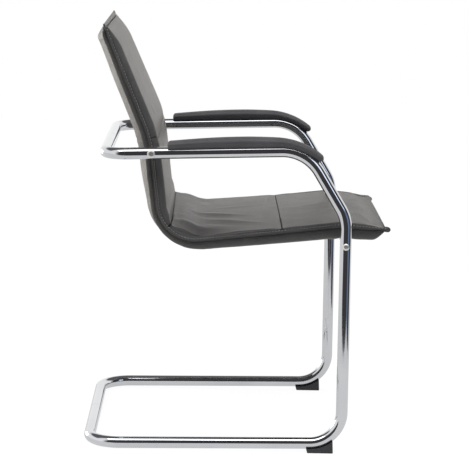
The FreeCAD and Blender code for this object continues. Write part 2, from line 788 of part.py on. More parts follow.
# Fixing of the back: inserts in the shell's edges, sleeves out to the arms and the screws
back_inserts, spacers, back_screws, spacer_rooms = [], [], [], []
for label, side in SIDES.items():
    inward = X_AXIS * -side
    edge = back_fix + X_AXIS * ((shell_edge - size("soft_gap")) * side)
    barrel = rod(f"{label}_insert_blank", edge, inward, "Sizes.insert_dia / 2", "Sizes.insert_length")
    thread = rod(f"{label}_insert_thread", edge, inward, neat, "Sizes.insert_length")
    back_inserts.append(cut(f"{label}_back_insert", barrel, [thread]))
    tube_face = half_frame - tube_radius - size("sliding_fit")
    start = back_fix + X_AXIS * (tube_face * side)
    sleeve = add("Part::Cylinder", f"{label}_sleeve", Radius="Sizes.spacer_dia / 2")
    sleeve_hole = add("Part::Cylinder", f"{label}_sleeve_hole", Radius=play)
    sleeve_room = add("Part::Cylinder", f"{label}_sleeve_room", Radius="Sizes.spacer_dia / 2 + Sizes.soft_gap")
    for item, spare in ((sleeve, 0), (sleeve_hole, 0), (sleeve_room, size("tube_dia"))):
        item.Height = tube_face - shell_edge - size("soft_gap") + spare
        item.Placement = Placement(start + X_AXIS * (spare / 2 * side), Rotation(Z_AXIS, inward))
    spacers.append(cut(f"{label}_spacer", sleeve, [sleeve_hole]))
    spacer_rooms.append(sleeve_room)
    seat = back_fix + X_AXIS * ((half_frame + tube_radius) * side)
    reach = half_frame + tube_radius - shell_edge + size("insert_length") * 0.8
    back_screws.append(
        pan_screw(f"{label}_back_screw", seat, X_AXIS * side, size("back_head_dia"), size("head_height"), reach)
    )
node("back_inserts", group("back_insert_pair", back_inserts))
node("back_spacers", group("back_spacer_pair", spacers))
node("back_screws", group("back_screw_pair", back_screws))

# Upholstery: sitting side
cover_shoulder = flowing(
    (0, kink_at, corner_seam_at, seam_end),
    (size("back_shoulder"), size("back_shoulder"), size("under_shoulder"), size("under_shoulder")),
)
seat_bulge = flowing(
    (crease_at, crease_at + size("bulge_reach"), crease_at + size("bulge_length"), seat_seam_at),
    (0, size("seat_bulge"), 0, 0),
)
core_room = slab("core_room", size("soft_gap"), -roll, seam_end + roll, half_frame)
wide_roll = roll * FULL_RISE
top_seam, front_seam = size("edge_thick"), size("edge_thick")
back_thick, lower_thick, seat_thick = size("back_pad_thick"), size("lower_pad_thick"), size("seat_pad_thick")
channel, crease = size("channel_depth"), size("crease_thick")
seat_seam = seat_thick - channel
node(
    "upper_back_pad",
    pad_panel(
        "upper_back_panel",
        0,
        kink_at,
        (back_thick, lower_thick),
        (top_seam, lower_thick - channel),
        (wide_roll * 2, wide_roll),
    ),
)
lower_blank = pad_panel(
    "lower_back_panel",
    kink_at,
    crease_at,
    (lower_thick, lower_thick),
    (lower_thick - channel, crease),
    (wide_roll, wide_roll),
)
node(
    "rear_seat_pad",
    pad_panel(
        "rear_seat_panel",
        crease_at,
        seat_seam_at,
        (lower_thick, seat_thick),
        (crease, seat_seam),
        (wide_roll, wide_roll),
        seat_bulge,
    ),
)
node(
    "front_seat_pad",
    pad_panel(
        "front_seat_panel",
        seat_seam_at,
        seam_end,
        (seat_thick, size("front_pad_thick")),
        (seat_seam, front_seam),
        (wide_roll, wide_roll * 2),
    ),
)

# Upholstery: rear and underside
pinch = channel / 2
top_full, kink_full, corner_full = (size(f"{name}_cover_thick") for name in ("top", "kink", "corner"))
node(
    "upper_back_cover",
    cover_panel(
        "upper_rear_panel",
        0,
        kink_at,
        flowing(
            (0, wide_roll, kink_at / 2, kink_at),
            (top_full, top_full, size("waist_cover_thick"), kink_full),
        ),
        (top_full - top_seam, pinch),
        (wide_roll, roll),
    ),
)
lower_cover_blank = cover_panel(
    "lower_rear_panel",
    kink_at,
    corner_seam_at,
    flowing((kink_at, kink_at + wide_roll, corner_seam_at), (kink_full, kink_full, corner_full)),
    (pinch, 0),
    (roll, roll),
)
under_blank = cover_panel(
    "under_panel",
    corner_seam_at,
    seam_end,
    seat_drop,
    (0, seat_drop(seam_end) - front_seam),
    (roll, wide_roll * 0.8),
)
level_cut = add("Part::Box", "plate_level", Length="Sizes.frame_width", Height="Sizes.plate_depth")
level_cut.Width = size("flat_rear_y") - size("seat_front_y")
level_cut.Placement.Base = Vector(-half_frame, size("seat_front_y"), seat_under_z - size("plate_depth"))
node("seat_base_cover", cut("under_drilled", under_blank, screw_rooms + [level_cut]))

# Side seams and edge flanges
core = slab("welt_core", 0, half_seam, seam_end - half_seam, half_frame)
for (label, side), sleeve_room in zip(SIDES.items(), spacer_rooms):
    band = edge_band(f"{label}_welt_band", side, size("welt_depth"), size("welt_bulge"))
    welt = common(f"{label}_welt_blank", core, band)
    node(f"{label}_side_welt", cut(f"{label}_welt", welt, [sleeve_room]))
node("lower_back_pad", lower_blank)
node("lower_back_cover", lower_cover_blank)
for label, place, ahead_sign in (("top", 0, -1), ("front", seam_end, 1)):
    reaches = size(f"{label}_flange_reach"), size(f"{label}_ear_reach")
    node(f"{label}_flange", edge_flange(f"{label}_edge", place, ahead_sign, *reaches))

# Arm pads: a crowned pad along the arm with a drooping nose, grooved for the tube, on a stiff strip
pad_screws = []
for label, side in SIDES.items():
    out = X_AXIS * (half_frame * side)
    under = arm_up * (tube_radius - size("pad_wrap"))
    start = arm_point(size("pad_rear_y")) + out + under
    bend_start = start + arm_ahead * size("pad_straight")
    centre = bend_start - arm_up * size("pad_nose_radius")
    turns = [math.radians(size("pad_nose_turn") * share) for share in (0.5, 1.0)]
    nose = [
        centre + (arm_up * math.cos(turn) + arm_ahead * math.sin(turn)) * size("pad_nose_radius")
        for turn in turns
    ]
    run = [
        Part.LineSegment(start, bend_start).toShape(),
        Part.Arc(bend_start, nose[0], nose[1]).toShape(),
    ]
    total = run[0].Length + run[1].Length
    straight, end_round = size("pad_straight"), size("pad_end_round")
    outlines = []
    for mark in [0.0, end_round * 0.4] + spread(end_round, total - end_round, SECTION_STEP) + [
        total - end_round * 0.4,
        total,
    ]:
        taper = math.sin(min(mark, total - mark, end_round) / end_round * math.pi / 2)
        past = max(0.0, (mark - straight) / (total - straight))
        swell = math.sin(min(1.0, mark / (straight * 0.6)) * math.pi / 2)
        full = size("pad_rear_thick") + (size("pad_thick") - size("pad_rear_thick")) * swell
        thick = (full + (size("pad_nose_thick") - full) * past) * (0.62 + 0.38 * taper)
        wide = size("pad_half_width") * (1 - 0.08 * past) * (0.8 + 0.2 * taper)
        point, tangent = along(run, mark)
        up = Vector(0, tangent.z, -tangent.y)
        shoulder, crown = wide * 0.72, thick * 0.22
        edge_rise = thick - crown

        def spot(x, height):
            return point + X_AXIS * x + up * height

        outline = [
            Part.LineSegment(spot(-wide * 0.9, 0), spot(wide * 0.9, 0)),
            Part.Arc(spot(wide * 0.9, 0), spot(wide, edge_rise * 0.45), spot(shoulder, edge_rise)),
            Part.Arc(spot(shoulder, edge_rise), spot(0, thick), spot(-shoulder, edge_rise)),
            Part.Arc(spot(-shoulder, edge_rise), spot(-wide, edge_rise * 0.45), spot(-wide * 0.9, 0)),
        ]
        outlines.append(Part.Wire([edge.toShape() for edge in outline]))
    blank = lofted(f"{label}_arm_blank", outlines)

    strip_height = tube_radius + size("soft_gap") + size("strip_lift")
    strip_base = arm_point(strip_middle_y) + out + arm_up * strip_height
    tilt = Rotation(Y_AXIS, -arm_ahead)

    def strip_box(name, spare):
        """A box along the arm, on the strip's place, larger by the spare on every side."""
        box = add(
            "Part::Box",
            name,
            Width=f"Sizes.strip_length + {2 * spare}",
            Length=f"Sizes.strip_width + {2 * spare}",
            Height=f"Sizes.strip_thick + {2 * spare}",
        )
        corner = Vector(-size("strip_width") / 2 - spare, -size("strip_length") / 2 - spare, -spare)
        box.Placement = Placement(strip_base + tilt.multVec(corner), tilt)
        return box

    strip = strip_box(f"{label}_strip_blank", 0)
    cavity = strip_box(f"{label}_strip_room", size("soft_gap"))
    strip_holes, pad_holes = [], []
    for number, y in enumerate(pad_screw_ys, 1):
        axis = arm_point(y) + out
        strip_holes.append(rod(f"{label}_strip_hole_{number}", axis, arm_up, neat, "Sizes.tube_dia * 2"))
        pad_holes.append(
            rod(
                f"{label}_pad_hole_{number}",
                axis,
                arm_up,
                play,
                "Sizes.tube_dia / 2 + Sizes.strip_lift + Sizes.strip_thick",
            )
        )
        rest = math.sqrt((tube_radius - size("tube_wall")) ** 2 - (size("pad_head_dia") / 2) ** 2)
        seat = axis + arm_up * (rest - size("sliding_fit"))
        reach = strip_height + size("strip_thick") - rest - size("head_rim")
        head = size("pad_head_dia"), size("head_height")
        pad_screws.append(pan_screw(f"{label}_pad_screw_{number}", seat, -arm_up, *head, reach))
    node(f"{label}_pad_insert", cut(f"{label}_strip", strip, strip_holes))
    node(f"{label}_arm_pad", cut(f"{label}_arm_rest", blank, [tube_room[side], cavity] + pad_holes))
node("arm_pad_screws", group("arm_pad_screw_set", pad_screws))

doc.recompute()
faults = [item.Label for item in doc.Objects if {"Invalid", "Error"} & set(item.State)]
for name, item in NODES.items():
    if item.Shape.isNull() or not item.Shape.isValid() or not item.Shape.Solids:
        faults.append(name)
if faults:
    raise RuntimeError("not built: " + ", ".join(faults))

os.makedirs("parts", exist_ok=True)
for name, item in NODES.items():
    item.Shape.exportStep(f"parts/{name}.step")
    print(f"{name}: {len(item.Shape.Solids)} solid(s), {item.Shape.Volume / 1000:.1f} cm3")
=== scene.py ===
"""Visual model of a cantilever conference chair with arms.

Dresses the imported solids: chromed tube frame, padded leather seat and back with piped side seams,
moulded arm pads and wedge glides. Metres; +Z is up and the sitter faces -Y.
"""

import logging
import math
from dataclasses import dataclass, field
from enum import Enum
from typing import Callable, Iterable, Mapping, Sequence

import bmesh
import bpy
import numpy as np
from mathutils import Matrix, Vector, noise


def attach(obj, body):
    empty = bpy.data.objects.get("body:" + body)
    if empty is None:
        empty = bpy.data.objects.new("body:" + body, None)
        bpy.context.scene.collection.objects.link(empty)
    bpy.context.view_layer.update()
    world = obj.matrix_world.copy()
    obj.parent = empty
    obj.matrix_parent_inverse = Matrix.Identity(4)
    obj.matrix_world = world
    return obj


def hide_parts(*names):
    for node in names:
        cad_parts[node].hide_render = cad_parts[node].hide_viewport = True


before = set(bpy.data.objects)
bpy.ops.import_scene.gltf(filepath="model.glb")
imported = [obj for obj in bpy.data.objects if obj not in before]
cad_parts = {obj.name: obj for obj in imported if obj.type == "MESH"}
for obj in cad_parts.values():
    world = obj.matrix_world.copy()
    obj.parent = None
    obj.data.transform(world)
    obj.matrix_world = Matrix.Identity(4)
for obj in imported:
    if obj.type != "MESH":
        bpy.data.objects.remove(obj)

Array = np.ndarray
Colour = tuple[float, float, float]
Measure = Callable[[Array], Array]
LOG = logging.getLogger("chair")
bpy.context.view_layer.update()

# Sockets of a Mix node that hold its share, its two colours and the mixed colour
MIX_SHARE, MIX_FIRST, MIX_SECOND, MIX_RESULT = 0, 6, 7, 2


class Side(Enum):
    """Sides of the chair as the sitter has them, with the sign of X there."""

    RIGHT = -1
    LEFT = 1

    @property
    def label(self) -> str:
        """The side's name as the nodes spell it."""
        return self.name.lower()


class Face(Enum):
    """Which way a panel of the upholstery looks, with the sign of its height from the seam line."""

    SITTING = 1
    REAR = -1


class Wire:
    """A node's output that takes part in arithmetic; each operation adds a Math node."""

    def __init__(self, bench: "NodeBench", socket: bpy.types.NodeSocket) -> None:
        """Keeps the output and the bench that makes further nodes."""
        self.bench = bench
        self.socket = socket

    def math(self, operation: str, *values: "Wire | float") -> "Wire":
        """The result of a Math node on the values given."""
        return self.bench.wire("ShaderNodeMath", {"operation": operation}, dict(enumerate(values)))

    def __add__(self, other: "Wire | float") -> "Wire":
        """Sum."""
        return self.math("ADD", self, other)

    __radd__ = __add__

    def __sub__(self, other: "Wire | float") -> "Wire":
        """Difference."""
        return self.math("SUBTRACT", self, other)

    def __rsub__(self, other: "Wire | float") -> "Wire":
        """Difference from a number."""
        return self.math("SUBTRACT", other, self)

    def __mul__(self, other: "Wire | float") -> "Wire":
        """Product."""
        return self.math("MULTIPLY", self, other)

    __rmul__ = __mul__

    def larger(self, other: "Wire | float") -> "Wire":
        """The larger of two values."""
        return self.math("MAXIMUM", self, other)

    def ramp(self, low: float, high: float) -> "Wire":
        """Rises smoothly from 0 at the low value to 1 at the high one."""
        bounds = {"Value": self, "From Min": low, "From Max": high}
        return self.bench.wire("ShaderNodeMapRange", {"interpolation_type": "SMOOTHSTEP"}, bounds)


class NodeBench:
    """Makes the nodes of one tree."""

    def __init__(self, tree: bpy.types.NodeTree) -> None:
        """Keeps the tree that gets the nodes."""
        self.tree = tree

    @classmethod
    def emptied(cls, owner: bpy.types.Material | bpy.types.World) -> "NodeBench":
        """Clears the tree of a material or a world.

        Args:
            owner: What the tree belongs to.

        Returns:
            A bench for that tree.
        """
        owner.use_nodes = True
        owner.node_tree.nodes.clear()
        return cls(owner.node_tree)

    def node(
        self,
        kind: str,
        settings: Mapping[str, object] | None = None,
        inputs: Mapping[str | int, object] | None = None,
    ) -> bpy.types.Node:
        """Adds a node.

        Args:
            kind: The node's type.
            settings: Its properties, set first.
            inputs: Values or wires of its sockets, by name or number.

        Returns:
            The new node.
        """
        node = self.tree.nodes.new(kind)
        for name, value in (settings or {}).items():
            setattr(node, name, value)
        for key, value in (inputs or {}).items():
            if isinstance(value, Wire):
                self.tree.links.new(value.socket, node.inputs[key])
            else:
                node.inputs[key].default_value = value
        return node

    def wire(
        self,
        kind: str,
        settings: Mapping[str, object] | None = None,
        inputs: Mapping[str | int, object] | None = None,
        output: str | int = 0,
    ) -> Wire:
        """Adds a node as above and wraps the output with the name or number given."""
        return Wire(self, self.node(kind, settings, inputs).outputs[output])

    def place(self) -> Wire:
        """The surface's own place on the object."""
        return self.wire("ShaderNodeTexCoord", output="Object")

    def ray(self, kind: str) -> Wire:
        """1 where a ray of a kind, such as Camera or Glossy, meets the surface, and else 0."""
        return self.wire("ShaderNodeLightPath", output=f"Is {kind} Ray")

    def noise(self, place: Wire, scale: float, detail: float = 3.0, roughness: float = 0.5) -> Wire:
        """Soft noise near 0.5, by its blotches per metre, octaves and weight of the finer ones."""
        inputs = {"Vector": place, "Scale": scale, "Detail": detail, "Roughness": roughness}
        return self.wire("ShaderNodeTexNoise", {}, inputs)

    def blend(self, share: Wire, first: "Colour | Wire", second: "Colour | Wire") -> Wire:
        """A colour between two, by a share.

        Args:
            share: 0 for the first colour, 1 for the second.
            first: Colour at 0.
            second: Colour at 1.

        Returns:
            The mixed colour.
        """
        ends = [colour if isinstance(colour, Wire) else (*colour, 1.0) for colour in (first, second)]
        inputs = {MIX_SHARE: share, MIX_FIRST: ends[0], MIX_SECOND: ends[1]}
        return self.wire("ShaderNodeMix", {"data_type": "RGBA"}, inputs, MIX_RESULT)

    def bump(self, height: Wire, depth: float, strength: float, under: Wire | None = None) -> Wire:
        """Relief from a height.

        Args:
            height: Height over the surface, 0 to 1.
            depth: What a height of 1 stands for, in metres.
            strength: Share of the relief that shows.
            under: Relief that this one lies on.

        Returns:
            The changed normal.
        """
        inputs = {"Height": height, "Distance": depth, "Strength": strength}
        if under is not None:
            inputs["Normal"] = under
        return self.wire("ShaderNodeBump", {}, inputs)


@dataclass(frozen=True)
class Finish:
    """A surface finish, made as one material on first use."""

    name: str

    def material(self) -> bpy.types.Material:
        """The finish's material.

        Returns:
            The material, made once and shared after that.
        """
        made = bpy.data.materials.get(self.name)
        if made is None:
            made = bpy.data.materials.new(self.name)
            bench = NodeBench.emptied(made)
            shader = bench.wire("ShaderNodeBsdfPrincipled", {}, self.surface(bench))
            bench.node("ShaderNodeOutputMaterial", {}, {"Surface": shader})
        return made

    def surface(self, bench: NodeBench) -> dict[str | int, object]:
        """Inputs of the finish's shader.

        Args:
            bench: Bench of the material's tree.

        Returns:
            Values and wires by socket name.
        """
        raise NotImplementedError


@dataclass(frozen=True)
class Plating(Finish):
    """Bright metal plating with faint haze, fine wipe marks and a few duller patches."""

    colour: Colour = (0.70, 0.71, 0.73)
    dull: Colour = (0.61, 0.62, 0.64)
    gloss: float = 0.045
    haze: float = 0.05
    wipe_haze: float = 0.02
    patch_scale: float = 7.0
    wipe_scale: float = 160.0
    ripple_scale: float = 320.0
    ripple: float = 0.0002

    def surface(self, bench: NodeBench) -> dict[str | int, object]:
        """Inputs of the plating's shader.

        Args:
            bench: Bench of the material's tree.

        Returns:
            Values and wires by socket name.
        """
        place = bench.place()
        patches = bench.noise(place, self.patch_scale, 4.0).ramp(0.42, 0.72)
        wipes = bench.noise(place, self.wipe_scale, 2.0).ramp(0.45, 0.8)
        ripples = bench.noise(place, self.ripple_scale)
        return {
            "Base Color": bench.blend(patches * 0.6 + wipes * 0.15, self.colour, self.dull),
            "Metallic": 1.0,
            "Roughness": self.gloss + self.haze * patches + self.wipe_haze * wipes,
            "Normal": bench.bump(ripples, self.ripple, 0.003),
        }


@dataclass(frozen=True)
class Leather(Finish):
    """Soft coated leather: pebbled grain, finer creases, slow colour drift and shine on the pebbles."""

    dark: Colour = (0.047, 0.046, 0.046)
    light: Colour = (0.088, 0.083, 0.078)
    pebble: float = 0.0030
    pebble_stray: float = 0.8
    pebble_relief: float = 0.00042
    crease_relief: float = 0.0012
    matt: float = 0.35
    stray_scale: float = 420.0
    crease_scale: float = 210.0
    shine_scale: float = 32.0
    drift_scale: float = 9.0
    sheen: float = 0.22
    sheen_spread: float = 0.40
    sheen_tint: Colour = (1.0, 0.88, 0.76)

    def surface(self, bench: NodeBench) -> dict[str | int, object]:
        """Inputs of the leather's shader.

        Args:
            bench: Bench of the material's tree.

        Returns:
            Values and wires by socket name.
        """
        place = bench.place()
        pebbles = self.pebbles(bench, place)
        creases = bench.noise(place, self.crease_scale, 3.0, 0.6)
        drift = bench.noise(place, self.drift_scale).ramp(0.3, 0.7)
        under = bench.bump(creases, self.crease_relief, 0.35)
        return {
            "Base Color": bench.blend(pebbles * 0.55 + drift * 0.45, self.dark, self.light),
            "Roughness": self.matt + 0.10 * bench.noise(place, self.shine_scale) - 0.07 * pebbles,
            "Sheen Weight": self.sheen,
            "Sheen Roughness": self.sheen_spread,
            "Sheen Tint": (*self.sheen_tint, 1.0),
            "Normal": bench.bump(pebbles, self.pebble_relief, 0.8, under),
        }

    def pebbles(self, bench: NodeBench, place: Wire) -> Wire:
        """The grain's pebbles, with uneven outlines.

        Args:
            bench: Bench of the material's tree.
            place: The surface's own place.

        Returns:
            0 in the furrows, 1 on the pebbles.
        """
        inputs = {"Vector": place, "Scale": self.stray_scale, "Detail": 2.0}
        wander = bench.wire("ShaderNodeTexNoise", {}, inputs, "Color")
        reach = (self.pebble * self.pebble_stray,) * 3
        stray = {0: wander, 1: reach, 2: place}
        strayed = bench.wire("ShaderNodeVectorMath", {"operation": "MULTIPLY_ADD"}, stray)
        cells = {"Vector": strayed, "Scale": 1.0 / self.pebble, "Randomness": 0.95}
        return bench.wire("ShaderNodeTexVoronoi", {"feature": "DISTANCE_TO_EDGE"}, cells).ramp(0.02, 0.3)


@dataclass(frozen=True)
class Moulding(Finish):
    """Moulded plastic, foam skin, paint or thread with a fine even texture."""

    colour: Colour = (0.012, 0.012, 0.013)
    worn: Colour = (0.022, 0.022, 0.023)
    matt: float = 0.34
    texture: float = 0.0007
    depth: float = 0.00008
    drift_scale: float = 14.0

    def surface(self, bench: NodeBench) -> dict[str | int, object]:
        """Inputs of the moulding's shader.

        Args:
            bench: Bench of the material's tree.

        Returns:
            Values and wires by socket name.
        """
        place = bench.place()
        grit = bench.noise(place, 1.0 / self.texture, 2.0)
        drift = bench.noise(place, self.drift_scale, 4.0)
        return {
            "Base Color": bench.blend(drift.ramp(0.35, 0.75), self.colour, self.worn),
            "Roughness": self.matt + 0.12 * drift + 0.05 * grit,
            "Normal": bench.bump(grit, self.depth, 0.5),
        }


@dataclass(frozen=True)
class Plywood(Finish):
    """Beech plywood: pale bands of grain along the sheet."""

    pale: Colour = (0.46, 0.32, 0.19)
    dark: Colour = (0.30, 0.19, 0.10)
    stretch: tuple[float, float, float] = (14.0, 90.0, 90.0)
    grain_scale: float = 3.0
    relief: float = 0.0003

    def surface(self, bench: NodeBench) -> dict[str | int, object]:
        """Inputs of the plywood's shader.

        Args:
            bench: Bench of the material's tree.

        Returns:
            Values and wires by socket name.
        """
        drawn = bench.wire("ShaderNodeMapping", {}, {"Vector": bench.place(), "Scale": self.stretch})
        grain = bench.noise(drawn, self.grain_scale, 5.0)
        return {
            "Base Color": bench.blend(grain.ramp(0.35, 0.65), self.pale, self.dark),
            "Roughness": 0.55 + 0.15 * grain,
            "Normal": bench.bump(grain, self.relief, 0.3),
        }


CHROME = Plating("chrome_plating")
NICKEL = Plating("nickel_plating", (0.90, 0.88, 0.84), (0.80, 0.78, 0.74), 0.42, 0.08)
STEEL = Plating("plain_steel", (0.48, 0.48, 0.48), (0.36, 0.36, 0.37), 0.30, 0.12)
LEATHER = Leather("soft_leather")
THREAD = Moulding("grey_thread", (0.30, 0.30, 0.31), (0.42, 0.42, 0.43), 0.6, 0.0004, 0.0001)
# This black is real thread in the corner stitch rows and painted shade in the cords sunk in the crease and
# seat cross seams.
BLACK_THREAD_AND_SEAM_SHADE = Moulding("black_thread_and_seam_shade", (0.008, 0.008, 0.008), (0.014, 0.014, 0.014), 0.7, 0.0004, 0.0001)
ARM_SKIN = Moulding("arm_pad_skin", (0.080, 0.077, 0.082), (0.108, 0.104, 0.109), 0.56, 0.0009, 0.00012)
GLIDE_PLASTIC = Moulding("glide_plastic", (0.030, 0.031, 0.034), (0.045, 0.046, 0.050), 0.42, 0.0009)
PLATE_PAINT = Moulding("plate_paint", (0.014, 0.014, 0.015), (0.024, 0.024, 0.026), 0.40, 0.0016, 0.00012)
PLYWOOD = Plywood("beech_plywood")


def steady(value: float) -> Measure:
    """A measure that is the same everywhere."""
    return lambda distance: np.full_like(distance, value)


def flowing(marks: Sequence[float], values: Sequence[float]) -> Measure:
    """A measure that eases from value to value.

    Args:
        marks: Distances along the seam line.
        values: The measure at each of them.

    Returns:
        The measure as a function of the distance.
    """
    table = np.array(values)

    def at(distance: Array) -> Array:
        """The measure at distances.

        Args:
            distance: Distances along the seam line.

        Returns:
            One value for each distance.
        """
        spread = np.interp(distance, marks, range(len(marks)))
        below = np.clip(np.floor(spread).astype(int), 0, len(marks) - 2)
        share = (1 - np.cos(math.pi * (spread - below))) / 2
        return table[below] + (table[below + 1] - table[below]) * share

    return at


def arc_through(first: Array, middle: Array, last: Array, count: int) -> Array:
    """Points along circular arcs, each through three points.

    Args:
        first: Start points, one row each.
        middle: Points on the way.
        last: End points.
        count: Points on each arc.

    Returns:
        Array of rows, points and two coordinates; nearly straight arcs become lines.
    """
    ax, ay = (first - middle).T
    cx, cy = (last - middle).T
    twice = 2.0 * (ax * cy - ay * cx)
    straight = np.abs(twice) < 1e-9
    safe = np.where(straight, 1.0, twice)
    a2, c2 = ax**2 + ay**2, cx**2 + cy**2
    centre = np.stack(((cy * a2 - ay * c2) / safe, (ax * c2 - cx * a2) / safe), 1)
    spokes = [first - middle - centre, -centre, last - middle - centre]
    angles = [np.arctan2(spoke[:, 1], spoke[:, 0]) for spoke in spokes]

    def turned(start: Array, end: Array) -> Array:
        """The shorter turn from one angle to another."""
        return (end - start + math.pi) % (2 * math.pi) - math.pi

    sweep = turned(angles[0], angles[1]) + turned(angles[1], angles[2])
    shares = np.linspace(0.0, 1.0, count)
    angle = angles[0][:, None] + sweep[:, None] * shares
    radius = np.linalg.norm(spokes[0], axis=1)[:, None, None]
    ring = np.stack((np.cos(angle), np.sin(angle)), 2) * radius + (centre + middle)[:, None]
    line = first[:, None] + (last - first)[:, None] * shares[None, :, None]
    return np.where(straight[:, None, None], line, ring)


@dataclass
class Bend:
    """An arc that rounds one corner of a path."""

    before: Array
    corner: Array
    after: Array
    radius: float

    def __post_init__(self) -> None:
        """Works out the arc's ends, centre and sweep."""
        self.back = (self.before - self.corner) / np.linalg.norm(self.before - self.corner)
        ahead = (self.after - self.corner) / np.linalg.norm(self.after - self.corner)
        half = math.acos(float(self.back @ ahead)) / 2
        inward = (self.back + ahead) / np.linalg.norm(self.back + ahead)
        self.sweep = math.pi - 2 * half
        self.start = self.corner + self.back * self.radius / math.tan(half)
        self.end = self.corner + ahead * self.radius / math.tan(half)
        self.centre = self.corner + inward * self.radius / math.sin(half)

    def points(self, count: int) -> tuple[Array, Array]:
        """Samples the arc.

        Args:
            count: How many points.

        Returns:
            Points from start to end and the path's direction at each.
        """
        angle = np.linspace(0.0, self.sweep, count)[:, None]
        spoke = (self.start - self.centre) / self.radius
        places = self.centre + self.radius * (spoke * np.cos(angle) - self.back * np.sin(angle))
        return places, -self.back * np.cos(angle) - spoke * np.sin(angle)


def mesh_object(name: str, points: Array, faces: Iterable[Sequence[int]]) -> bpy.types.Object:
    """A smooth-shaded mesh object in the scene.

    Args:
        name: The object's name.
        points: Vertex places, one row each.
        faces: Vertex numbers of each face.

    Returns:
        The new object, at the origin.
    """
    mesh = bpy.data.meshes.new(name)
    mesh.from_pydata([tuple(point) for point in points], [], [tuple(face) for face in faces])
    mesh.shade_smooth()
    made = bpy.data.objects.new(name, mesh)
    bpy.context.scene.collection.objects.link(made)
    return made


def grid_faces(rows: int, columns: int, flipped: bool = False) -> list[tuple[int, ...]]:
    """Faces between the rows of a grid.

    Args:
        rows: Rows of points.
        columns: Points in a row.
        flipped: Whether the faces look the other way.

    Returns:
        Four point numbers for each face.
    """
    faces = []
    for row in range(rows - 1):
        for column in range(columns - 1):
            a = row * columns + column
            corners = (a, a + columns, a + columns + 1, a + 1)
            faces.append(corners[::-1] if flipped else corners)
    return faces


def loft(name: str, rings: Array) -> bpy.types.Object:
    """A closed shell through rings of points, with its faces outwards.

    Args:
        name: The object's name.
        rings: Rings in order, points round each, and coordinates.

    Returns:
        The new object.
    """
    count, around, _ = rings.shape
    faces: list[Sequence[int]] = [range(around), range((count - 1) * around, count * around)]
    for first in range(0, (count - 1) * around, around):
        for step in range(around):
            a, b = first + step, first + (step + 1) % around
            faces.append((a, a + around, b + around, b))
    made = mesh_object(name, rings.reshape(-1, 3), faces)
    work = bmesh.new()
    work.from_mesh(made.data)
    bmesh.ops.recalc_face_normals(work, faces=work.faces)
    work.to_mesh(made.data)
    work.free()
    return made


def smooth_noise(points: Array, scale: float, seed: float) -> Array:
    """Soft noise from -1 to 1 at points.

    Args:
        points: Places, one row each.
        scale: Blotches per metre.
        seed: Shift that tells one use from another.

    Returns:
        One value for each point.
    """
    shift = Vector((seed, -seed, seed * 0.5))
    return np.array([noise.noise(Vector(point) * scale + shift) for point in points])


def add_subdivision(piece: bpy.types.Object) -> None:
    """Adds one level of subdivision, the same on screen and in the render.

    Args:
        piece: The object that is rounded.
    """
    rounding = piece.modifiers.new("rounding", "SUBSURF")
    rounding.levels = 1
    rounding.render_levels = 1


def install(piece: bpy.types.Object, finish: Finish, slot: str, *nodes: str) -> bpy.types.Object:
    """Gives a new piece its finish and ties it to the frame.

    Args:
        piece: The finished piece.
        finish: What it is made of.
        slot: Material slot of the record; not used.
        nodes: CAD nodes that it stands for.

    Returns:
        The piece.
    """
    piece.data.materials.clear()
    piece.data.materials.append(finish.material())
    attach(piece, "root")
    if nodes:
        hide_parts(*nodes)
    stands_for = ", ".join(nodes) or "trim"
    LOG.info("%s: %d faces, stands for %s", piece.name, len(piece.data.polygons), stands_for)
    return piece


STITCH_SIDES = 6


class PathForm(Enum):
    """What a path tree lays along a path."""

    CORD = "cord_along_path"
    STITCHES = "stitches_along_path"


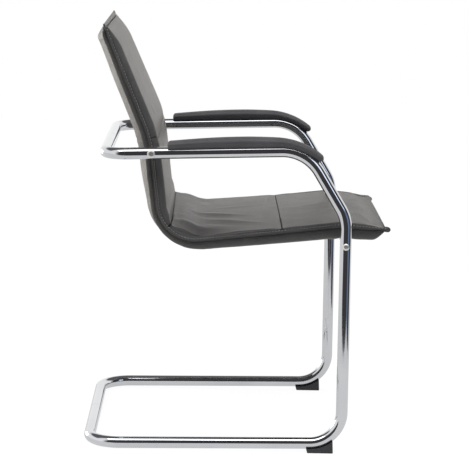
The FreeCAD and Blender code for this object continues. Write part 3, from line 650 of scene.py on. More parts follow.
@dataclass
class PathWork:
    """Geometry Nodes work along a path: a round cord, or stitches in a row."""

    name: str
    points: Array
    finish: Finish
    form: PathForm = PathForm.CORD
    radius: float = 0.0025
    sides: int = 12
    pitch: float = 0.0045
    length: float = 0.003

    def sizes(self) -> dict[str, tuple[str, object]]:
        """The tree's named inputs apart from the path: the socket's type and the value."""
        return {
            "Radius": ("NodeSocketFloat", self.radius),
            "Sides": ("NodeSocketInt", self.sides),
            "Pitch": ("NodeSocketFloat", self.pitch),
            "Length": ("NodeSocketFloat", self.length),
            "Finish": ("NodeSocketMaterial", self.finish.material()),
        }

    def tree(self) -> bpy.types.NodeTree:
        """The node tree of the work's form.

        Returns:
            The tree, made once and shared after that.
        """
        made = bpy.data.node_groups.get(self.form.value)
        if made is not None:
            return made
        made = bpy.data.node_groups.new(self.form.value, "GeometryNodeTree")
        made.interface.new_socket("Path", in_out="INPUT", socket_type="NodeSocketGeometry")
        for label, (kind, _) in self.sizes().items():
            made.interface.new_socket(label, in_out="INPUT", socket_type=kind)
        made.interface.new_socket("Work", in_out="OUTPUT", socket_type="NodeSocketGeometry")
        bench = NodeBench(made)
        given = bench.node("NodeGroupInput").outputs
        inputs = {label: Wire(bench, given[label]) for label in ("Path", *self.sizes())}
        path = bench.wire("GeometryNodeMeshToCurve", {}, {"Mesh": inputs["Path"]})
        lay = self.cord if self.form is PathForm.CORD else self.stitches
        rounded = bench.wire("GeometryNodeSetShadeSmooth", {}, {"Geometry": lay(bench, path, inputs)})
        real = bench.wire("GeometryNodeRealizeInstances", {}, {"Geometry": rounded})
        dressed = {"Geometry": real, "Material": inputs["Finish"]}
        bench.node("NodeGroupOutput", {}, {"Work": bench.wire("GeometryNodeSetMaterial", {}, dressed)})
        return made

    @staticmethod
    def cord(bench: NodeBench, path: Wire, inputs: Mapping[str, Wire]) -> Wire:
        """A round cord along the path.

        Args:
            bench: Bench of the tree.
            path: The path as a curve.
            inputs: The tree's named inputs.

        Returns:
            The cord.
        """
        ring = {"Resolution": inputs["Sides"], "Radius": inputs["Radius"]}
        profile = bench.wire("GeometryNodeCurvePrimitiveCircle", {}, ring)
        swept = {"Curve": path, "Profile Curve": profile, "Fill Caps": True}
        return bench.wire("GeometryNodeCurveToMesh", {}, swept)

    @staticmethod
    def stitches(bench: NodeBench, path: Wire, inputs: Mapping[str, Wire]) -> Wire:
        """Short thread stitches at even steps of the path.

        Args:
            bench: Bench of the tree.
            path: The path as a curve.
            inputs: The tree's named inputs.

        Returns:
            The stitches, as instances.
        """
        steps = {"Curve": path, "Length": inputs["Pitch"]}
        spaced = bench.wire("GeometryNodeResampleCurve", {"mode": "LENGTH"}, steps)
        tangent = bench.wire("GeometryNodeInputTangent")
        turn = bench.wire("FunctionNodeAlignRotationToVector", {"axis": "Z"}, {"Vector": tangent})
        bar = {"Vertices": inputs["Sides"], "Radius": inputs["Radius"], "Depth": inputs["Length"]}
        thread = bench.wire("GeometryNodeMeshCylinder", {}, bar)
        laid = {"Points": spaced, "Instance": thread, "Rotation": turn}
        return bench.wire("GeometryNodeInstanceOnPoints", {}, laid)

    def build(self, slot: str, *nodes: str) -> bpy.types.Object:
        """Lays the work along the path as a plain mesh with no modifier left.

        Args:
            slot: Material slot of the record; not used.
            nodes: CAD nodes that the work stands for.

        Returns:
            The finished piece.
        """
        carrier = bpy.data.meshes.new(self.name + "_path")
        steps = [(number, number + 1) for number in range(len(self.points) - 1)]
        carrier.from_pydata([tuple(point) for point in self.points], steps, [])
        made = bpy.data.objects.new(self.name, carrier)
        bpy.context.scene.collection.objects.link(made)
        modifier = made.modifiers.new("work", "NODES")
        modifier.node_group = self.tree()
        sizes = self.sizes()
        for item in modifier.node_group.interface.items_tree:
            if item.in_out == "INPUT" and item.name in sizes:
                modifier[item.identifier] = sizes[item.name][1]
        made.update_tag()
        depsgraph = bpy.context.evaluated_depsgraph_get()
        worked = bpy.data.meshes.new_from_object(made.evaluated_get(depsgraph))
        made.modifiers.clear()
        made.data = worked
        bpy.data.meshes.remove(carrier)
        return install(made, self.finish, slot, *nodes)


@dataclass
class SeamLine:
    """The line through the side seam in the chair's middle plane, from the back's top to the seat's front."""

    corners: tuple[tuple[float, float], ...] = (
        (0.287, 0.891),
        (0.188, 0.660),
        (0.1617, 0.4403),
        (-0.215, 0.485),
        (-0.310, 0.4775),
    )
    radii: tuple[float, ...] = (0.250, 0.080, 0.160)
    half_widths: tuple[float, ...] = (0.214, 0.238, 0.238, 0.229)
    shell_thick: float = 0.011
    end_taper: float = 0.032
    end_share: float = 0.2
    crease_lift: float = 0.012
    rear_panel_depth: float = 0.176
    corner_seam_reach: float = 0.012
    sample: float = 0.001

    def __post_init__(self) -> None:
        """Samples the line and works out the places of its seams."""
        corners = [np.array(corner) for corner in self.corners]
        start = corners[0]
        stretches: list[tuple[Array, Array]] = []
        lengths: list[float] = []
        for before, corner, after, radius in zip(corners, corners[1:], corners[2:], self.radii):
            bend = Bend(before, corner, after, radius)
            round_length = radius * bend.sweep
            stretches += [self.straight(start, bend.start), bend.points(self.samples(round_length))]
            lengths += [float(np.linalg.norm(bend.start - start)), round_length]
            start = bend.end
        stretches.append(self.straight(start, corners[-1]))
        self.points, self.tangents = (np.concatenate(rows) for rows in zip(*stretches))
        steps = np.linalg.norm(np.diff(self.points, axis=0), axis=1)
        self.distances = np.concatenate(([0.0], np.cumsum(steps)))
        self.end = float(self.distances[-1])
        back, kink, waist, hip = lengths[:4]
        self.kink = back + kink / 2
        self.crease = back + kink + waist + hip / 2 - self.crease_lift
        self.corner_end = back + kink + waist + hip
        self.corner_seam = self.corner_end + self.corner_seam_reach
        self.seat_seam = self.corner_end + self.rear_panel_depth

    def samples(self, length: float) -> int:
        """How many points a stretch of the line gets."""
        return max(2, round(length / self.sample))

    def straight(self, start: Array, end: Array) -> tuple[Array, Array]:
        """Samples a straight stretch of the line.

        Args:
            start: Where it starts.
            end: Where it ends.

        Returns:
            Points along it and the direction at each.
        """
        length = float(np.linalg.norm(end - start))
        shares = np.linspace(0.0, 1.0, self.samples(length))[:, None]
        return start + (end - start) * shares, np.repeat([(end - start) / length], len(shares), 0)

    def at(self, distance: Array) -> tuple[Array, Array]:
        """Points and facing directions of the line.

        Args:
            distance: Distances along it; past its ends it runs on straight.

        Returns:
            Depth and height of each point, and the direction to the sitter there.
        """
        inside = np.clip(distance, 0.0, self.end)
        place, along = (
            np.stack([np.interp(inside, self.distances, column) for column in rows.T], 1)
            for rows in (self.points, self.tangents)
        )
        along /= np.linalg.norm(along, axis=1)[:, None]
        place = place + along * (distance - inside)[:, None]
        return place, np.stack((along[:, 1], -along[:, 0]), 1)

    def half_width(self, distance: Array) -> Array:
        """Half the upholstery's width at distances along the line."""
        return np.interp(distance, (0.0, self.kink, self.seat_seam, self.end), self.half_widths)

    def core_half(self, distance: Array) -> Array:
        """Half the thickness of the shell and its welts, which taper at the line's ends.

        Args:
            distance: Distances along the line.

        Returns:
            One half thickness for each distance.
        """
        near_end = np.minimum(distance, self.end - distance)
        share = np.clip(near_end / self.end_taper, 0.0, 1.0)
        return self.shell_thick / 2 * (self.end_share + (1.0 - self.end_share) * share)

    def place(self, distance: Array, x: Array, height: Array) -> Array:
        """Points in the chair from distances along the line, places across and heights to the sitter."""
        spot, up = self.at(distance)
        return np.column_stack((x, spot + up * np.asarray(height)[:, None]))


SEAM = SeamLine()


@dataclass(frozen=True)
class Fold:
    """A soft ridge or hollow in the leather, by its place on a panel."""

    distance: float
    x: float
    length: float
    width: float
    turn: float
    height: float

    def lift(self, distance: Array, x: Array) -> Array:
        """How far the fold lifts the leather.

        Args:
            distance: Distances along the seam line.
            x: Places across.

        Returns:
            Heights in metres.
        """
        ahead = distance - self.distance
        aside = x - self.x
        turn = math.radians(self.turn)
        along = ahead * math.cos(turn) + aside * math.sin(turn)
        across = aside * math.cos(turn) - ahead * math.sin(turn)
        return self.height * np.exp(-((along / self.length) ** 2) - (across / self.width) ** 2)


@dataclass
class Stuffing:
    """How a panel's leather is blown up over its foam."""

    pressure: float = 4.0
    frames: int = 20
    quality: int = 6
    weight: float = 0.3
    stretch: float = 18.0
    shear: float = 6.0
    bend: float = 0.6
    cap: float = 0.005
    slack: float = 0.0018
    spare: float = 0.003
    seam_spare: float = 0.02
    foam: float = 0.15
    evening: int = 10
    evening_kept: float = 0.4

    def lay(self, name: str, start: Array, held: Array, loose: Array) -> bpy.types.Object:
        """Lays a grid of leather ready to be blown up.

        Args:
            name: Name of the panel.
            start: The grid before it swells: rows, columns and coordinates.
            held: How firmly each point is held, 1 on the seams.
            loose: How much spare leather each point has, 1 near the seams.

        Returns:
            A sheet with its cloth settings.
        """
        rows, columns, _ = start.shape
        sheet = mesh_object(name + "_sheet", start.reshape(-1, 3), grid_faces(rows, columns))
        for label, weights in (("held", held), ("loose", loose)):
            group = sheet.vertex_groups.new(name=label)
            for number, weight in enumerate(weights.reshape(-1)):
                group.add([number], float(weight), "REPLACE")
        cloth = sheet.modifiers.new("leather", "CLOTH")
        settings = cloth.settings
        settings.quality = self.quality
        settings.mass = self.weight
        settings.tension_stiffness = self.stretch
        settings.compression_stiffness = self.stretch
        settings.shear_stiffness = self.shear
        settings.bending_stiffness = self.bend
        settings.use_pressure = True
        settings.uniform_pressure_force = self.pressure
        settings.vertex_group_mass = "held"
        settings.vertex_group_shrink = "loose"
        settings.shrink_min = -self.spare
        settings.shrink_max = -self.seam_spare
        settings.effector_weights.gravity = 0.0
        cloth.point_cache.frame_start = 1
        cloth.point_cache.frame_end = self.frames
        return sheet

    def blow(self) -> None:
        """Blows up every sheet that lies ready."""
        for number in range(1, self.frames + 1):
            bpy.context.scene.frame_set(number)

    def lift(self, sheet: bpy.types.Object, target: Array) -> Array:
        """Takes the swollen leather off its sheet.

        Args:
            sheet: The sheet, blown up; it is removed.
            target: The grid that the swelling is measured from.

        Returns:
            The swollen grid, evened out and within the cap of the target.
        """
        swollen = sheet.evaluated_get(bpy.context.evaluated_depsgraph_get()).data
        points = np.empty(target.size)
        swollen.vertices.foreach_get("co", points)
        carrier = sheet.data
        bpy.data.objects.remove(sheet)
        bpy.data.meshes.remove(carrier)
        moved = points.reshape(target.shape) - target
        kept = self.evening_kept
        for _ in range(self.evening):
            beside = moved[:-2, 1:-1] + moved[2:, 1:-1] + moved[1:-1, :-2] + moved[1:-1, 2:]
            moved[1:-1, 1:-1] = moved[1:-1, 1:-1] * kept + beside * ((1.0 - kept) / 4)
        far = np.linalg.norm(moved, axis=2, keepdims=True)
        return target + moved * (self.cap * np.tanh(far / self.cap) / np.maximum(far, 1e-9))


@dataclass
class Panel:
    """A sewn and padded leather panel between two seams of the upholstery."""

    name: str
    face: Face
    start: float
    end: float
    rolls: tuple[float, float]
    thickness: Measure
    seams: tuple[Measure, Measure]
    shoulder: Measure
    crown: Measure
    folds: Sequence[Fold]
    foot_height: float = 0.0018
    foot_inset: float = 0.0014
    seam_gap: float = 0.0009
    rim: float = 0.45
    fullness: float = 2.0
    fill: float = 0.85
    step: float = 0.004
    column_step: float = 0.005
    crowding: float = 0.6
    side_points: int = 10
    side_bow: float = 0.10
    bow_height: float = 0.48
    least_ease: float = 0.25
    core_inset: float = 0.018
    soft_gap: float = 0.0003
    least_leather: float = 0.0004
    held_width: float = 0.004
    loose_reach: float = 0.022
    pucker: float = 0.0011
    pucker_scale: float = 105.0
    pucker_reach: float = 0.014
    flurry_scale: float = 14.0
    flurry_base: float = 0.6
    flurry_most: float = 1.6
    wave: float = 0.0005
    wave_scale: float = 20.0
    wave_stretch: float = 0.45
    seam_calm: float = 0.006
    stuffing: Stuffing = field(default_factory=Stuffing)

    def distances(self) -> Array:
        """Distances of the panel's rows along the seam line."""
        first, last = self.start + self.seam_gap, self.end - self.seam_gap
        return np.linspace(first, last, max(8, round((last - first) / self.step)))

    def rise(self, distance: Array) -> Array:
        """How far the panel has risen from its seams, 0 to 1."""
        share = np.minimum((distance - self.start) / self.rolls[0], (self.end - distance) / self.rolls[1])
        return np.sin(np.clip(share, 0.0, 1.0) * math.pi / 2)

    def grid(self, slack: float = 0.0) -> Array:
        """The panel's leather as a grid, seam to seam and edge to edge.

        Args:
            slack: How far the leather lies below its full height.

        Returns:
            Rows, columns and coordinates.
        """
        distance = self.distances()
        rise = self.rise(distance)
        full = self.thickness(distance)
        first_half = distance - self.start < (self.end - self.start) / 2
        low = np.where(first_half, self.seams[0](full), self.seams[1](full))
        least = np.clip(low / full, self.least_ease, 1.0)
        ease = least + (1.0 - least) * rise
        core = SEAM.core_half(distance) + self.soft_gap
        height = np.maximum(low + (full - low) * rise - slack * rise, core + self.least_leather)
        edge = SEAM.half_width(distance)
        width = edge - slack * 0.5
        shoulder = self.shoulder(distance) * ease
        top = width - shoulder
        side = self.side(edge, width, shoulder, height, core)
        count = max(12, round(2 * float(edge.max()) / self.column_step))
        crowd = math.pi / 2 * self.crowding
        shares = np.sin(np.linspace(-1.0, 1.0, count) * crowd) / math.sin(crowd)
        crown = self.crown(distance) * ease
        arch = height[:, None] + crown[:, None] * (1.0 - np.abs(shares) ** self.fullness)
        lid = np.stack((top[:, None] * shares, arch), 2)
        outline = np.concatenate((side * (-1.0, 1.0), lid[:, 1:-1], side[:, ::-1]), 1)
        spot, up = SEAM.at(distance)
        points = np.empty((*outline.shape[:2], 3))
        points[..., 0] = outline[..., 0]
        points[..., 1:] = spot[:, None] + up[:, None] * outline[..., 1:] * self.face.value
        return points

    def side(self, edge: Array, width: Array, shoulder: Array, height: Array, core: Array) -> Array:
        """Outline of the panel's side, from under its edge to its shoulder.

        Args:
            edge: Half the upholstery's width at each row.
            width: Half the panel's own width.
            shoulder: How far the shoulder lies inside that.
            height: Height of the shoulder.
            core: Height of the shell below the panel.

        Returns:
            Rows, points, and each point's place across and height.
        """
        base = np.minimum(self.foot_height, core)
        foot = edge - self.foot_inset
        beside = width - (width - foot + shoulder) * self.side_bow
        middle = base + (height - base) * self.bow_height
        corners = ((foot, base), (beside, middle), (width - shoulder, height))
        arc = arc_through(*(np.column_stack(corner) for corner in corners), self.side_points)
        inner = np.column_stack((edge - self.core_inset, core))[:, None]
        return np.concatenate((inner, arc), 1)

    def edge_distances(self, grid: Array) -> tuple[Array, Array]:
        """How far each point of the grid is from its side seams and from its end seams.

        Args:
            grid: The panel's leather.

        Returns:
            Distances across the panel and along it, of the grid's shape.
        """
        steps = np.linalg.norm(np.diff(grid, axis=1), axis=2)
        steps[:, [0, -1]] = 0.0
        across = np.concatenate((np.zeros((len(grid), 1)), np.cumsum(steps, axis=1)), 1)
        across = np.minimum(across, across[:, -1:] - across)
        along = self.distances()
        ends = np.minimum(along - along[0], along[-1] - along)
        return across, np.broadcast_to(ends[:, None], across.shape)

    def sewn(self, grid: Array) -> Array:
        """Adds the folds, the slow waves and the puckers beside the seams.

        Args:
            grid: The swollen leather.

        Returns:
            The leather with its folds.
        """
        normal = np.cross(np.gradient(grid, axis=0), np.gradient(grid, axis=1)) * self.face.value
        normal /= np.maximum(np.linalg.norm(normal, axis=2, keepdims=True), 1e-12)
        aside, ends = self.edge_distances(grid)
        distance = np.broadcast_to(self.distances()[:, None], aside.shape)
        x = grid[..., 0]
        lift = np.zeros_like(aside)
        for fold in self.folds:
            lift += fold.lift(distance, x)
        # Each panel, and each side of it, draws puckers of its own
        seed = 3.0 + self.end * 40.0
        for run, edge, drift in ((distance, aside, np.sign(x) * 0.5), (x, ends, distance * 0.2)):
            spots = np.stack((run, drift, edge * 0.25), 2).reshape(-1, 3)
            gather = smooth_noise(spots, self.pucker_scale, seed).reshape(edge.shape)
            flurry = self.flurry_base + smooth_noise(spots, self.flurry_scale, seed + 2.0).reshape(edge.shape)
            gather *= np.clip(flurry, 0.0, self.flurry_most)
            lift += self.pucker * gather * np.exp(-edge / self.pucker_reach)
        drawn = grid.reshape(-1, 3) * (1.0, self.wave_stretch, self.wave_stretch)
        lift += self.wave * smooth_noise(drawn, self.wave_scale, seed).reshape(aside.shape)
        lift *= np.clip(np.minimum(aside, ends) / self.seam_calm, 0.0, 1.0)
        return grid + normal * lift[..., None]

    def sunk_start(self, depth: float) -> Array:
        """Points along the panel's first seam, sunk below its leather.

        Args:
            depth: How deep they lie.

        Returns:
            Points from side to side.
        """
        sunk = self.grid()[0][2:-2].copy()
        up = SEAM.at(self.distances()[:1])[1][0] * self.face.value
        sunk[:, 1:] -= up * depth
        sunk[:, 0] *= 1.0 - depth / np.abs(sunk[:, 0]).max()
        return sunk

    def lay(self) -> bpy.types.Object:
        """Lays the panel's leather ready to be blown up.

        Returns:
            The sheet with its cloth settings.
        """
        edge = np.minimum(*self.edge_distances(self.grid()))
        held = np.maximum(self.stuffing.foam, 1.0 - np.clip(edge / self.held_width, 0.0, 1.0))
        loose = np.exp(-((edge / self.loose_reach) ** 2))
        return self.stuffing.lay(self.name, self.grid(self.stuffing.slack), held, loose)

    def build(self, sheet: bpy.types.Object | None) -> bpy.types.Object:
        """Sews and closes the panel.

        Args:
            sheet: The panel's blown-up sheet, where there is one.

        Returns:
            The finished piece.
        """
        leather = self.grid()
        if sheet is not None:
            leather = self.stuffing.lift(sheet, leather)
        leather = self.sewn(leather)
        rows, columns, _ = leather.shape
        flipped = self.face is Face.REAR
        faces: list[Sequence[int]] = list(grid_faces(rows, columns, flipped))
        closing = [tuple(range(columns)), tuple(range((rows - 1) * columns, rows * columns))[::-1]]
        for first in range(0, (rows - 1) * columns, columns):
            last = first + columns - 1
            closing.append((first, last, last + columns, first + columns))
        faces += [face[::-1] for face in closing] if flipped else closing
        piece = mesh_object(self.name, leather.reshape(-1, 3), faces)
        creases = piece.data.attributes.new("crease_edge", "FLOAT", "EDGE").data
        for edge in piece.data.edges:
            if {vertex // columns for vertex in edge.vertices} in ({0}, {rows - 1}):
                creases[edge.index].value = self.rim
        add_subdivision(piece)
        install(piece, LEATHER, "leather", self.name)
        return piece


@dataclass
class SideSeam:
    """The seam along one side of the upholstery: its piping, its stitches and the band that carries them."""

    side: Side
    step: float = 0.004
    end_gap: float = 0.0005
    piping_radius: float = 0.0017
    piping_out: float = 0.0006
    wander_out: float = 0.0004
    wander_up: float = 0.0005
    wander_scale: float = 30.0
    stitch_out: float = 0.0011
    stitch_up: float = 0.0026
    stitch_radius: float = 0.0008
    stitch_pitch: float = 0.0066
    band_inset: float = 0.022
    band_edge: float = 0.004
    band_front: float = 0.0025
    band_fill: float = 0.97

    def build(self) -> None:
        """Makes the piping, the stitches and the band."""
        label, out = self.side.label, self.side.value
        welt = f"{label}_side_welt"
        distance = np.linspace(self.end_gap, SEAM.end - self.end_gap, round(SEAM.end / self.step))
        width = SEAM.half_width(distance)
        core = SEAM.core_half(distance)
        level = np.zeros_like(width)
        wander = smooth_noise(SEAM.place(distance, width, level), self.wander_scale, 5.0 + out)
        reach = width + self.piping_out + self.wander_out * wander
        path = SEAM.place(distance, out * reach, self.wander_up * wander)
        PathWork(f"{label}_piping", path, LEATHER, radius=self.piping_radius, sides=10).build("leather", welt)
        sewn = SEAM.place(distance, out * (width + self.stitch_out), level + self.stitch_up)
        thread = {"radius": self.stitch_radius, "pitch": self.stitch_pitch, "sides": STITCH_SIDES}
        PathWork(f"{label}_seam_stitches", sewn, THREAD, PathForm.STITCHES, **thread).build("leather")
        inner, edge, front = self.band_inset, self.band_edge, self.band_front
        outline = ((inner, 1.0), (inner, -1.0), (edge, -1.0), (front, 0.0), (edge, 1.0))
        rows = [
            SEAM.place(distance, out * (width - inset), core * up * self.band_fill)
            for inset, up in outline
        ]
        install(loft(f"{label}_seam_band", np.stack(rows, 1)), LEATHER, "leather", welt)


@dataclass
class EdgeSeam:
    """The pinched seam that stands out past the panels at the top or the front, with an ear at each side."""

    name: str
    distance: float
    ahead: int
    reach: float
    ear_reach: float
    lean: float = 0.0
    swell: float = 0.0
    dip: float = 0.0
    ear_width: float = 0.026
    ear_ease: float = 1.6
    thick: float = 0.0056
    tip_width: float = 0.006
    tip_share: float = 0.75
    bulge: float = 0.0025
    gap: float = -0.0020
    least_length: float = 0.0005
    ripple_scale: float = 55.0
    ripple_thick: float = 0.10
    ripple_out: float = 0.0007
    ripple_up: float = 0.0009
    slow_scale: float = 14.0
    slow_out: float = 0.0006
    slow_up: float = 0.0007
    sway_from: float = 0.005
    step: float = 0.004
    ring: int = 12

    def build(self) -> bpy.types.Object:
        """Lofts the seam across the chair.

        Returns:
            The finished piece.
        """
        mark = np.array([self.distance])
        spot, up = (rows[0] for rows in SEAM.at(mark))
        ahead = np.array((-up[1], up[0])) * self.ahead
        width = float(SEAM.half_width(mark)[0]) + self.bulge
        x = np.linspace(-width, width, round(2 * width / self.step))
        spots = np.column_stack((x, np.full_like(x, spot[0]), np.full_like(x, spot[1])))
        ripple = smooth_noise(spots, self.ripple_scale, 7.0 + self.ahead)
        slow = smooth_noise(spots, self.slow_scale, 2.0 + self.ahead)
        ear = np.clip((np.abs(x) - (width - self.ear_width)) / self.ear_width, 0.0, 1.0)
        reach = self.reach + (self.ear_reach - self.reach) * ear**self.ear_ease + self.lean * x / width
        reach += self.ripple_out * ripple + self.slow_out * slow
        tip = np.sqrt(np.clip((width - np.abs(x)) / self.tip_width, 0.0, 1.0))
        half = self.thick / 2 * (1 + self.ripple_thick * ripple + self.swell * ear)
        half *= self.tip_share + (1.0 - self.tip_share) * tip
        sway = self.ripple_up * ripple + self.slow_up * slow - self.dip * np.clip(x / width, 0.0, 1.0) ** 2
        angles = np.linspace(-math.pi / 2, math.pi / 2, self.ring)
        length = np.maximum(reach - half, self.least_length)[:, None]
        rounded = self.gap + length + np.cos(angles) * half[:, None]
        root = np.full((len(x), 1), self.gap)
        out = np.concatenate((root, rounded, root), 1)
        heights = np.concatenate(([-1.0], np.sin(angles), [1.0]))
        swayed = sway[:, None] * np.clip((out - self.gap) / self.sway_from, 0.0, 1.0)
        height = heights * half[:, None] + swayed
        rings = np.empty((*out.shape, 3))
        rings[..., 0] = x[:, None]
        rings[..., 1:] = spot + out[..., None] * ahead + height[..., None] * up
        piece = loft(self.name, rings)
        add_subdivision(piece)
        return install(piece, LEATHER, "leather", self.name)


@dataclass
class Upholstery:
    """The padded seat and back: seven sewn panels, piped side seams and pinched end seams."""

    back_pad: float = 0.018
    lower_pad: float = 0.0200
    seat_pad: float = 0.0078
    front_pad: float = 0.0078
    pad_crown: float = 0.0045
    pad_shoulder: float = 0.009
    seat_bulge: float = 0.0065
    bulge_reach: float = 0.045
    bulge_length: float = 0.096
    channel: float = 0.003
    crease: float = 0.0095
    edge: float = 0.0042
    pinch: float = 0.0016
    roll: float = 0.010
    wide_roll: float = 0.030
    top_roll: float = 0.060
    front_roll: float = 0.057
    top_cover_roll: float = 0.0195
    front_cover_roll: float = 0.024
    rear_crown: float = 0.0180
    hip_crown: float = 0.0145
    under_crown: float = -0.0058
    top_cover: float = 0.0325
    waist_cover: float = 0.0350
    kink_cover: float = 0.0355
    hip_cover: float = 0.0295
    bend_cover: float = 0.0190
    corner_cover: float = 0.0195
    under_level: float = 0.4564
    flat_rear: float = -0.186
    back_shoulder: float = 0.007
    under_shoulder: float = 0.016
    cover_foot: float = 0.0040
    cover_recess: float = 0.006
    cover_overlap: float = 0.0006
    cover_pucker: float = 0.0026
    cover_fullness: float = 5.0
    bar_from_front: float = 0.085
    bar_end: float = 0.205
    bar_dent: float = 0.0045
    bar_dent_size: tuple[float, float] = (0.016, 0.05)
    cord_depth: float = 0.0025
    cord_radii: tuple[float, ...] = (0.0024, 0.0022, 0.0025)
    # The kink seam cord is plain leather; the two black cords are painted shade at the bottom of the crease
    # and seat seams.
    cord_finishes_and_seam_shade: tuple[Finish, ...] = (LEATHER, BLACK_THREAD_AND_SEAM_SHADE, BLACK_THREAD_AND_SEAM_SHADE)
    corner_rows: tuple[float, ...] = (-0.004, 0.004)
    corner_row_half: float = 0.212
    corner_row_points: int = 60
    corner_row_sunk: float = 0.0002
    corner_thread: float = 0.0006

    def pads(self) -> list[Panel]:
        """The four panels of the sitting side, each between two of five seams.

        Returns:
            Panels from the back's top to the seat's front.
        """
        wide = self.wide_roll
        names = ("upper_back_pad", "lower_back_pad", "rear_seat_pad", "front_seat_pad")
        marks = (0.0, SEAM.kink, SEAM.crease, SEAM.seat_seam, SEAM.end)
        depths = (self.back_pad, self.lower_pad, self.lower_pad, self.seat_pad, self.front_pad)
        channels = (self.lower_pad - self.channel, self.seat_pad - self.channel)
        lows = [steady(low) for low in (self.edge, channels[0], self.crease, channels[1], self.edge)]
        rolls = ((self.top_roll, wide), (wide, wide), (wide, wide), (wide, self.front_roll))
        bulge = flowing(
            (SEAM.crease, SEAM.crease + self.bulge_reach, SEAM.crease + self.bulge_length, SEAM.seat_seam),
            (0.0, self.seat_bulge, 0.0, 0.0),
        )

        def thickness(distance: Array) -> Array:
            """Thickness of the pads, with the filling's bulge where the seat meets the back."""
            return np.interp(distance, marks, depths) + bulge(distance)

        shape = (steady(self.pad_shoulder), steady(self.pad_crown))
        folds = self.folds()
        panels = []
        for name, first, last, roll, *seams in zip(names, marks, marks[1:], rolls, lows, lows[1:]):
            place = (name, Face.SITTING, first, last, roll)
            panels.append(Panel(*place, thickness, tuple(seams), *shape, folds[name]))
        return panels

    @staticmethod
    def folds() -> dict[str, list[Fold]]:
        """Folds of the sitting side by panel.

        Returns:
            Ridges and hollows that use has left in the leather.
        """
        crease, front = SEAM.crease, SEAM.end
        return {
            "rear_seat_pad": [
                Fold(crease + 0.072, -0.240, 0.060, 0.040, 0.0, -0.0110),
                Fold(crease + 0.050, -0.176, 0.045, 0.016, -14.0, 0.0030),
                Fold(crease + 0.050, 0.226, 0.040, 0.030, 0.0, 0.0012),
                Fold(crease + 0.116, -0.035, 0.050, 0.011, -24.0, 0.0028),
                Fold(crease + 0.108, -0.068, 0.052, 0.013, -26.0, -0.0013),
                Fold(crease + 0.140, -0.125, 0.060, 0.012, -29.0, 0.0030),
                Fold(crease + 0.128, -0.158, 0.050, 0.012, -30.0, -0.0014),
                Fold(crease + 0.094, 0.170, 0.016, 0.050, 0.0, -0.0022),
                Fold(crease + 0.165, 0.060, 0.060, 0.010, 14.0, 0.0012),
                Fold(crease + 0.190, 0.130, 0.040, 0.012, -10.0, 0.0010),
            ],
            "front_seat_pad": [
                Fold(front - 0.008, 0.0, 0.026, 0.50, 0.0, -0.0060),
                Fold(front - 0.043, -0.130, 0.055, 0.008, -75.0, 0.0014),
                Fold(front - 0.060, -0.060, 0.060, 0.010, -80.0, -0.0010),
                Fold(front - 0.040, 0.120, 0.050, 0.009, 78.0, 0.0012),
                Fold(front - 0.120, 0.020, 0.070, 0.016, 20.0, 0.0010),
            ],
            "upper_back_pad": [
                Fold(0.205, -0.120, 0.045, 0.010, 62.0, 0.0013),
                Fold(0.225, 0.110, 0.045, 0.010, -62.0, 0.0012),
                Fold(0.060, 0.150, 0.040, 0.012, 40.0, 0.0012),
            ],
            "lower_back_pad": [
                Fold(SEAM.kink + 0.035, -0.140, 0.045, 0.010, -55.0, 0.0014),
                Fold(SEAM.kink + 0.030, 0.100, 0.050, 0.010, 60.0, 0.0013),
                Fold(crease - 0.040, 0.020, 0.070, 0.012, 88.0, 0.0014),
            ],
        }

    def pinched(self, depth: Array) -> Array:
        """Depth of the covers at a seam that draws them in."""
        return depth - self.pinch

    def seat_drop(self, distance: Array) -> Array:
        """Depth of the seat's underside, which runs level in front.

        Args:
            distance: Distances along the seam line.

        Returns:
            One depth for each distance.
        """
        spot, up = SEAM.at(distance)
        rear = SEAM.at(np.array([SEAM.corner_seam]))[0][0]
        rear_level = rear[1] - self.corner_cover
        share = np.clip((rear[0] - spot[:, 0]) / (rear[0] - self.flat_rear), 0.0, 1.0)
        level = rear_level + (self.under_level - rear_level) * share
        return (spot[:, 1] - level) / up[:, 1]

    def covers(self) -> list[Panel]:
        """The three panels of the rear and underside.

        Returns:
            Panels from the back's top to the seat's front.
        """
        kink, corner, end, wide = SEAM.kink, SEAM.corner_seam, SEAM.end, self.wide_roll
        crown = flowing(
            (0.0, kink + wide, SEAM.crease - wide, corner, end),
            (self.rear_crown, self.rear_crown, self.hip_crown, self.under_crown, self.under_crown),
        )
        upper = flowing(
            (0.0, wide, kink / 2, kink),
            (self.top_cover, self.top_cover, self.waist_cover, self.kink_cover),
        )
        lower = flowing(
            (kink, kink + wide * 2, SEAM.crease - wide, SEAM.corner_end, corner),
            (self.kink_cover, self.kink_cover, self.hip_cover, self.bend_cover, self.corner_cover),
        )
        shoulder = flowing(
            (0.0, kink, corner, end),
            (self.back_shoulder, self.back_shoulder, self.under_shoulder, self.under_shoulder),
        )

        def walled(depth: Measure) -> Measure:
            """Depth of a panel at its shoulders, from its depth in the middle."""
            return lambda distance: depth(distance) - crown(distance)

        edge, pinched, roll = steady(self.edge), self.pinched, self.roll
        under_rolls = (roll, self.front_cover_roll)
        bar = end - self.bar_from_front
        dents = [
            Fold(bar, self.bar_end * side.value, *self.bar_dent_size, 0.0, -self.bar_dent)
            for side in Side
        ]
        plans = (
            ("upper_back_cover", 0.0, kink, (self.top_cover_roll, roll), upper, (edge, pinched), []),
            ("lower_back_cover", kink, corner, (roll, roll), lower, (pinched, pinched), []),
            ("seat_base_cover", corner, end, under_rolls, self.seat_drop, (pinched, edge), dents),
        )
        shape = {
            "foot_height": self.cover_foot,
            "foot_inset": self.cover_recess,
            "seam_gap": -self.cover_overlap,
            "pucker": self.cover_pucker,
            "fullness": self.cover_fullness,
            "rim": 1.0,
        }
        return [
            Panel(name, Face.REAR, first, last, rolls, walled(depth), seams, shoulder, crown, folds, **shape)
            for name, first, last, rolls, depth, seams, folds in plans
        ]

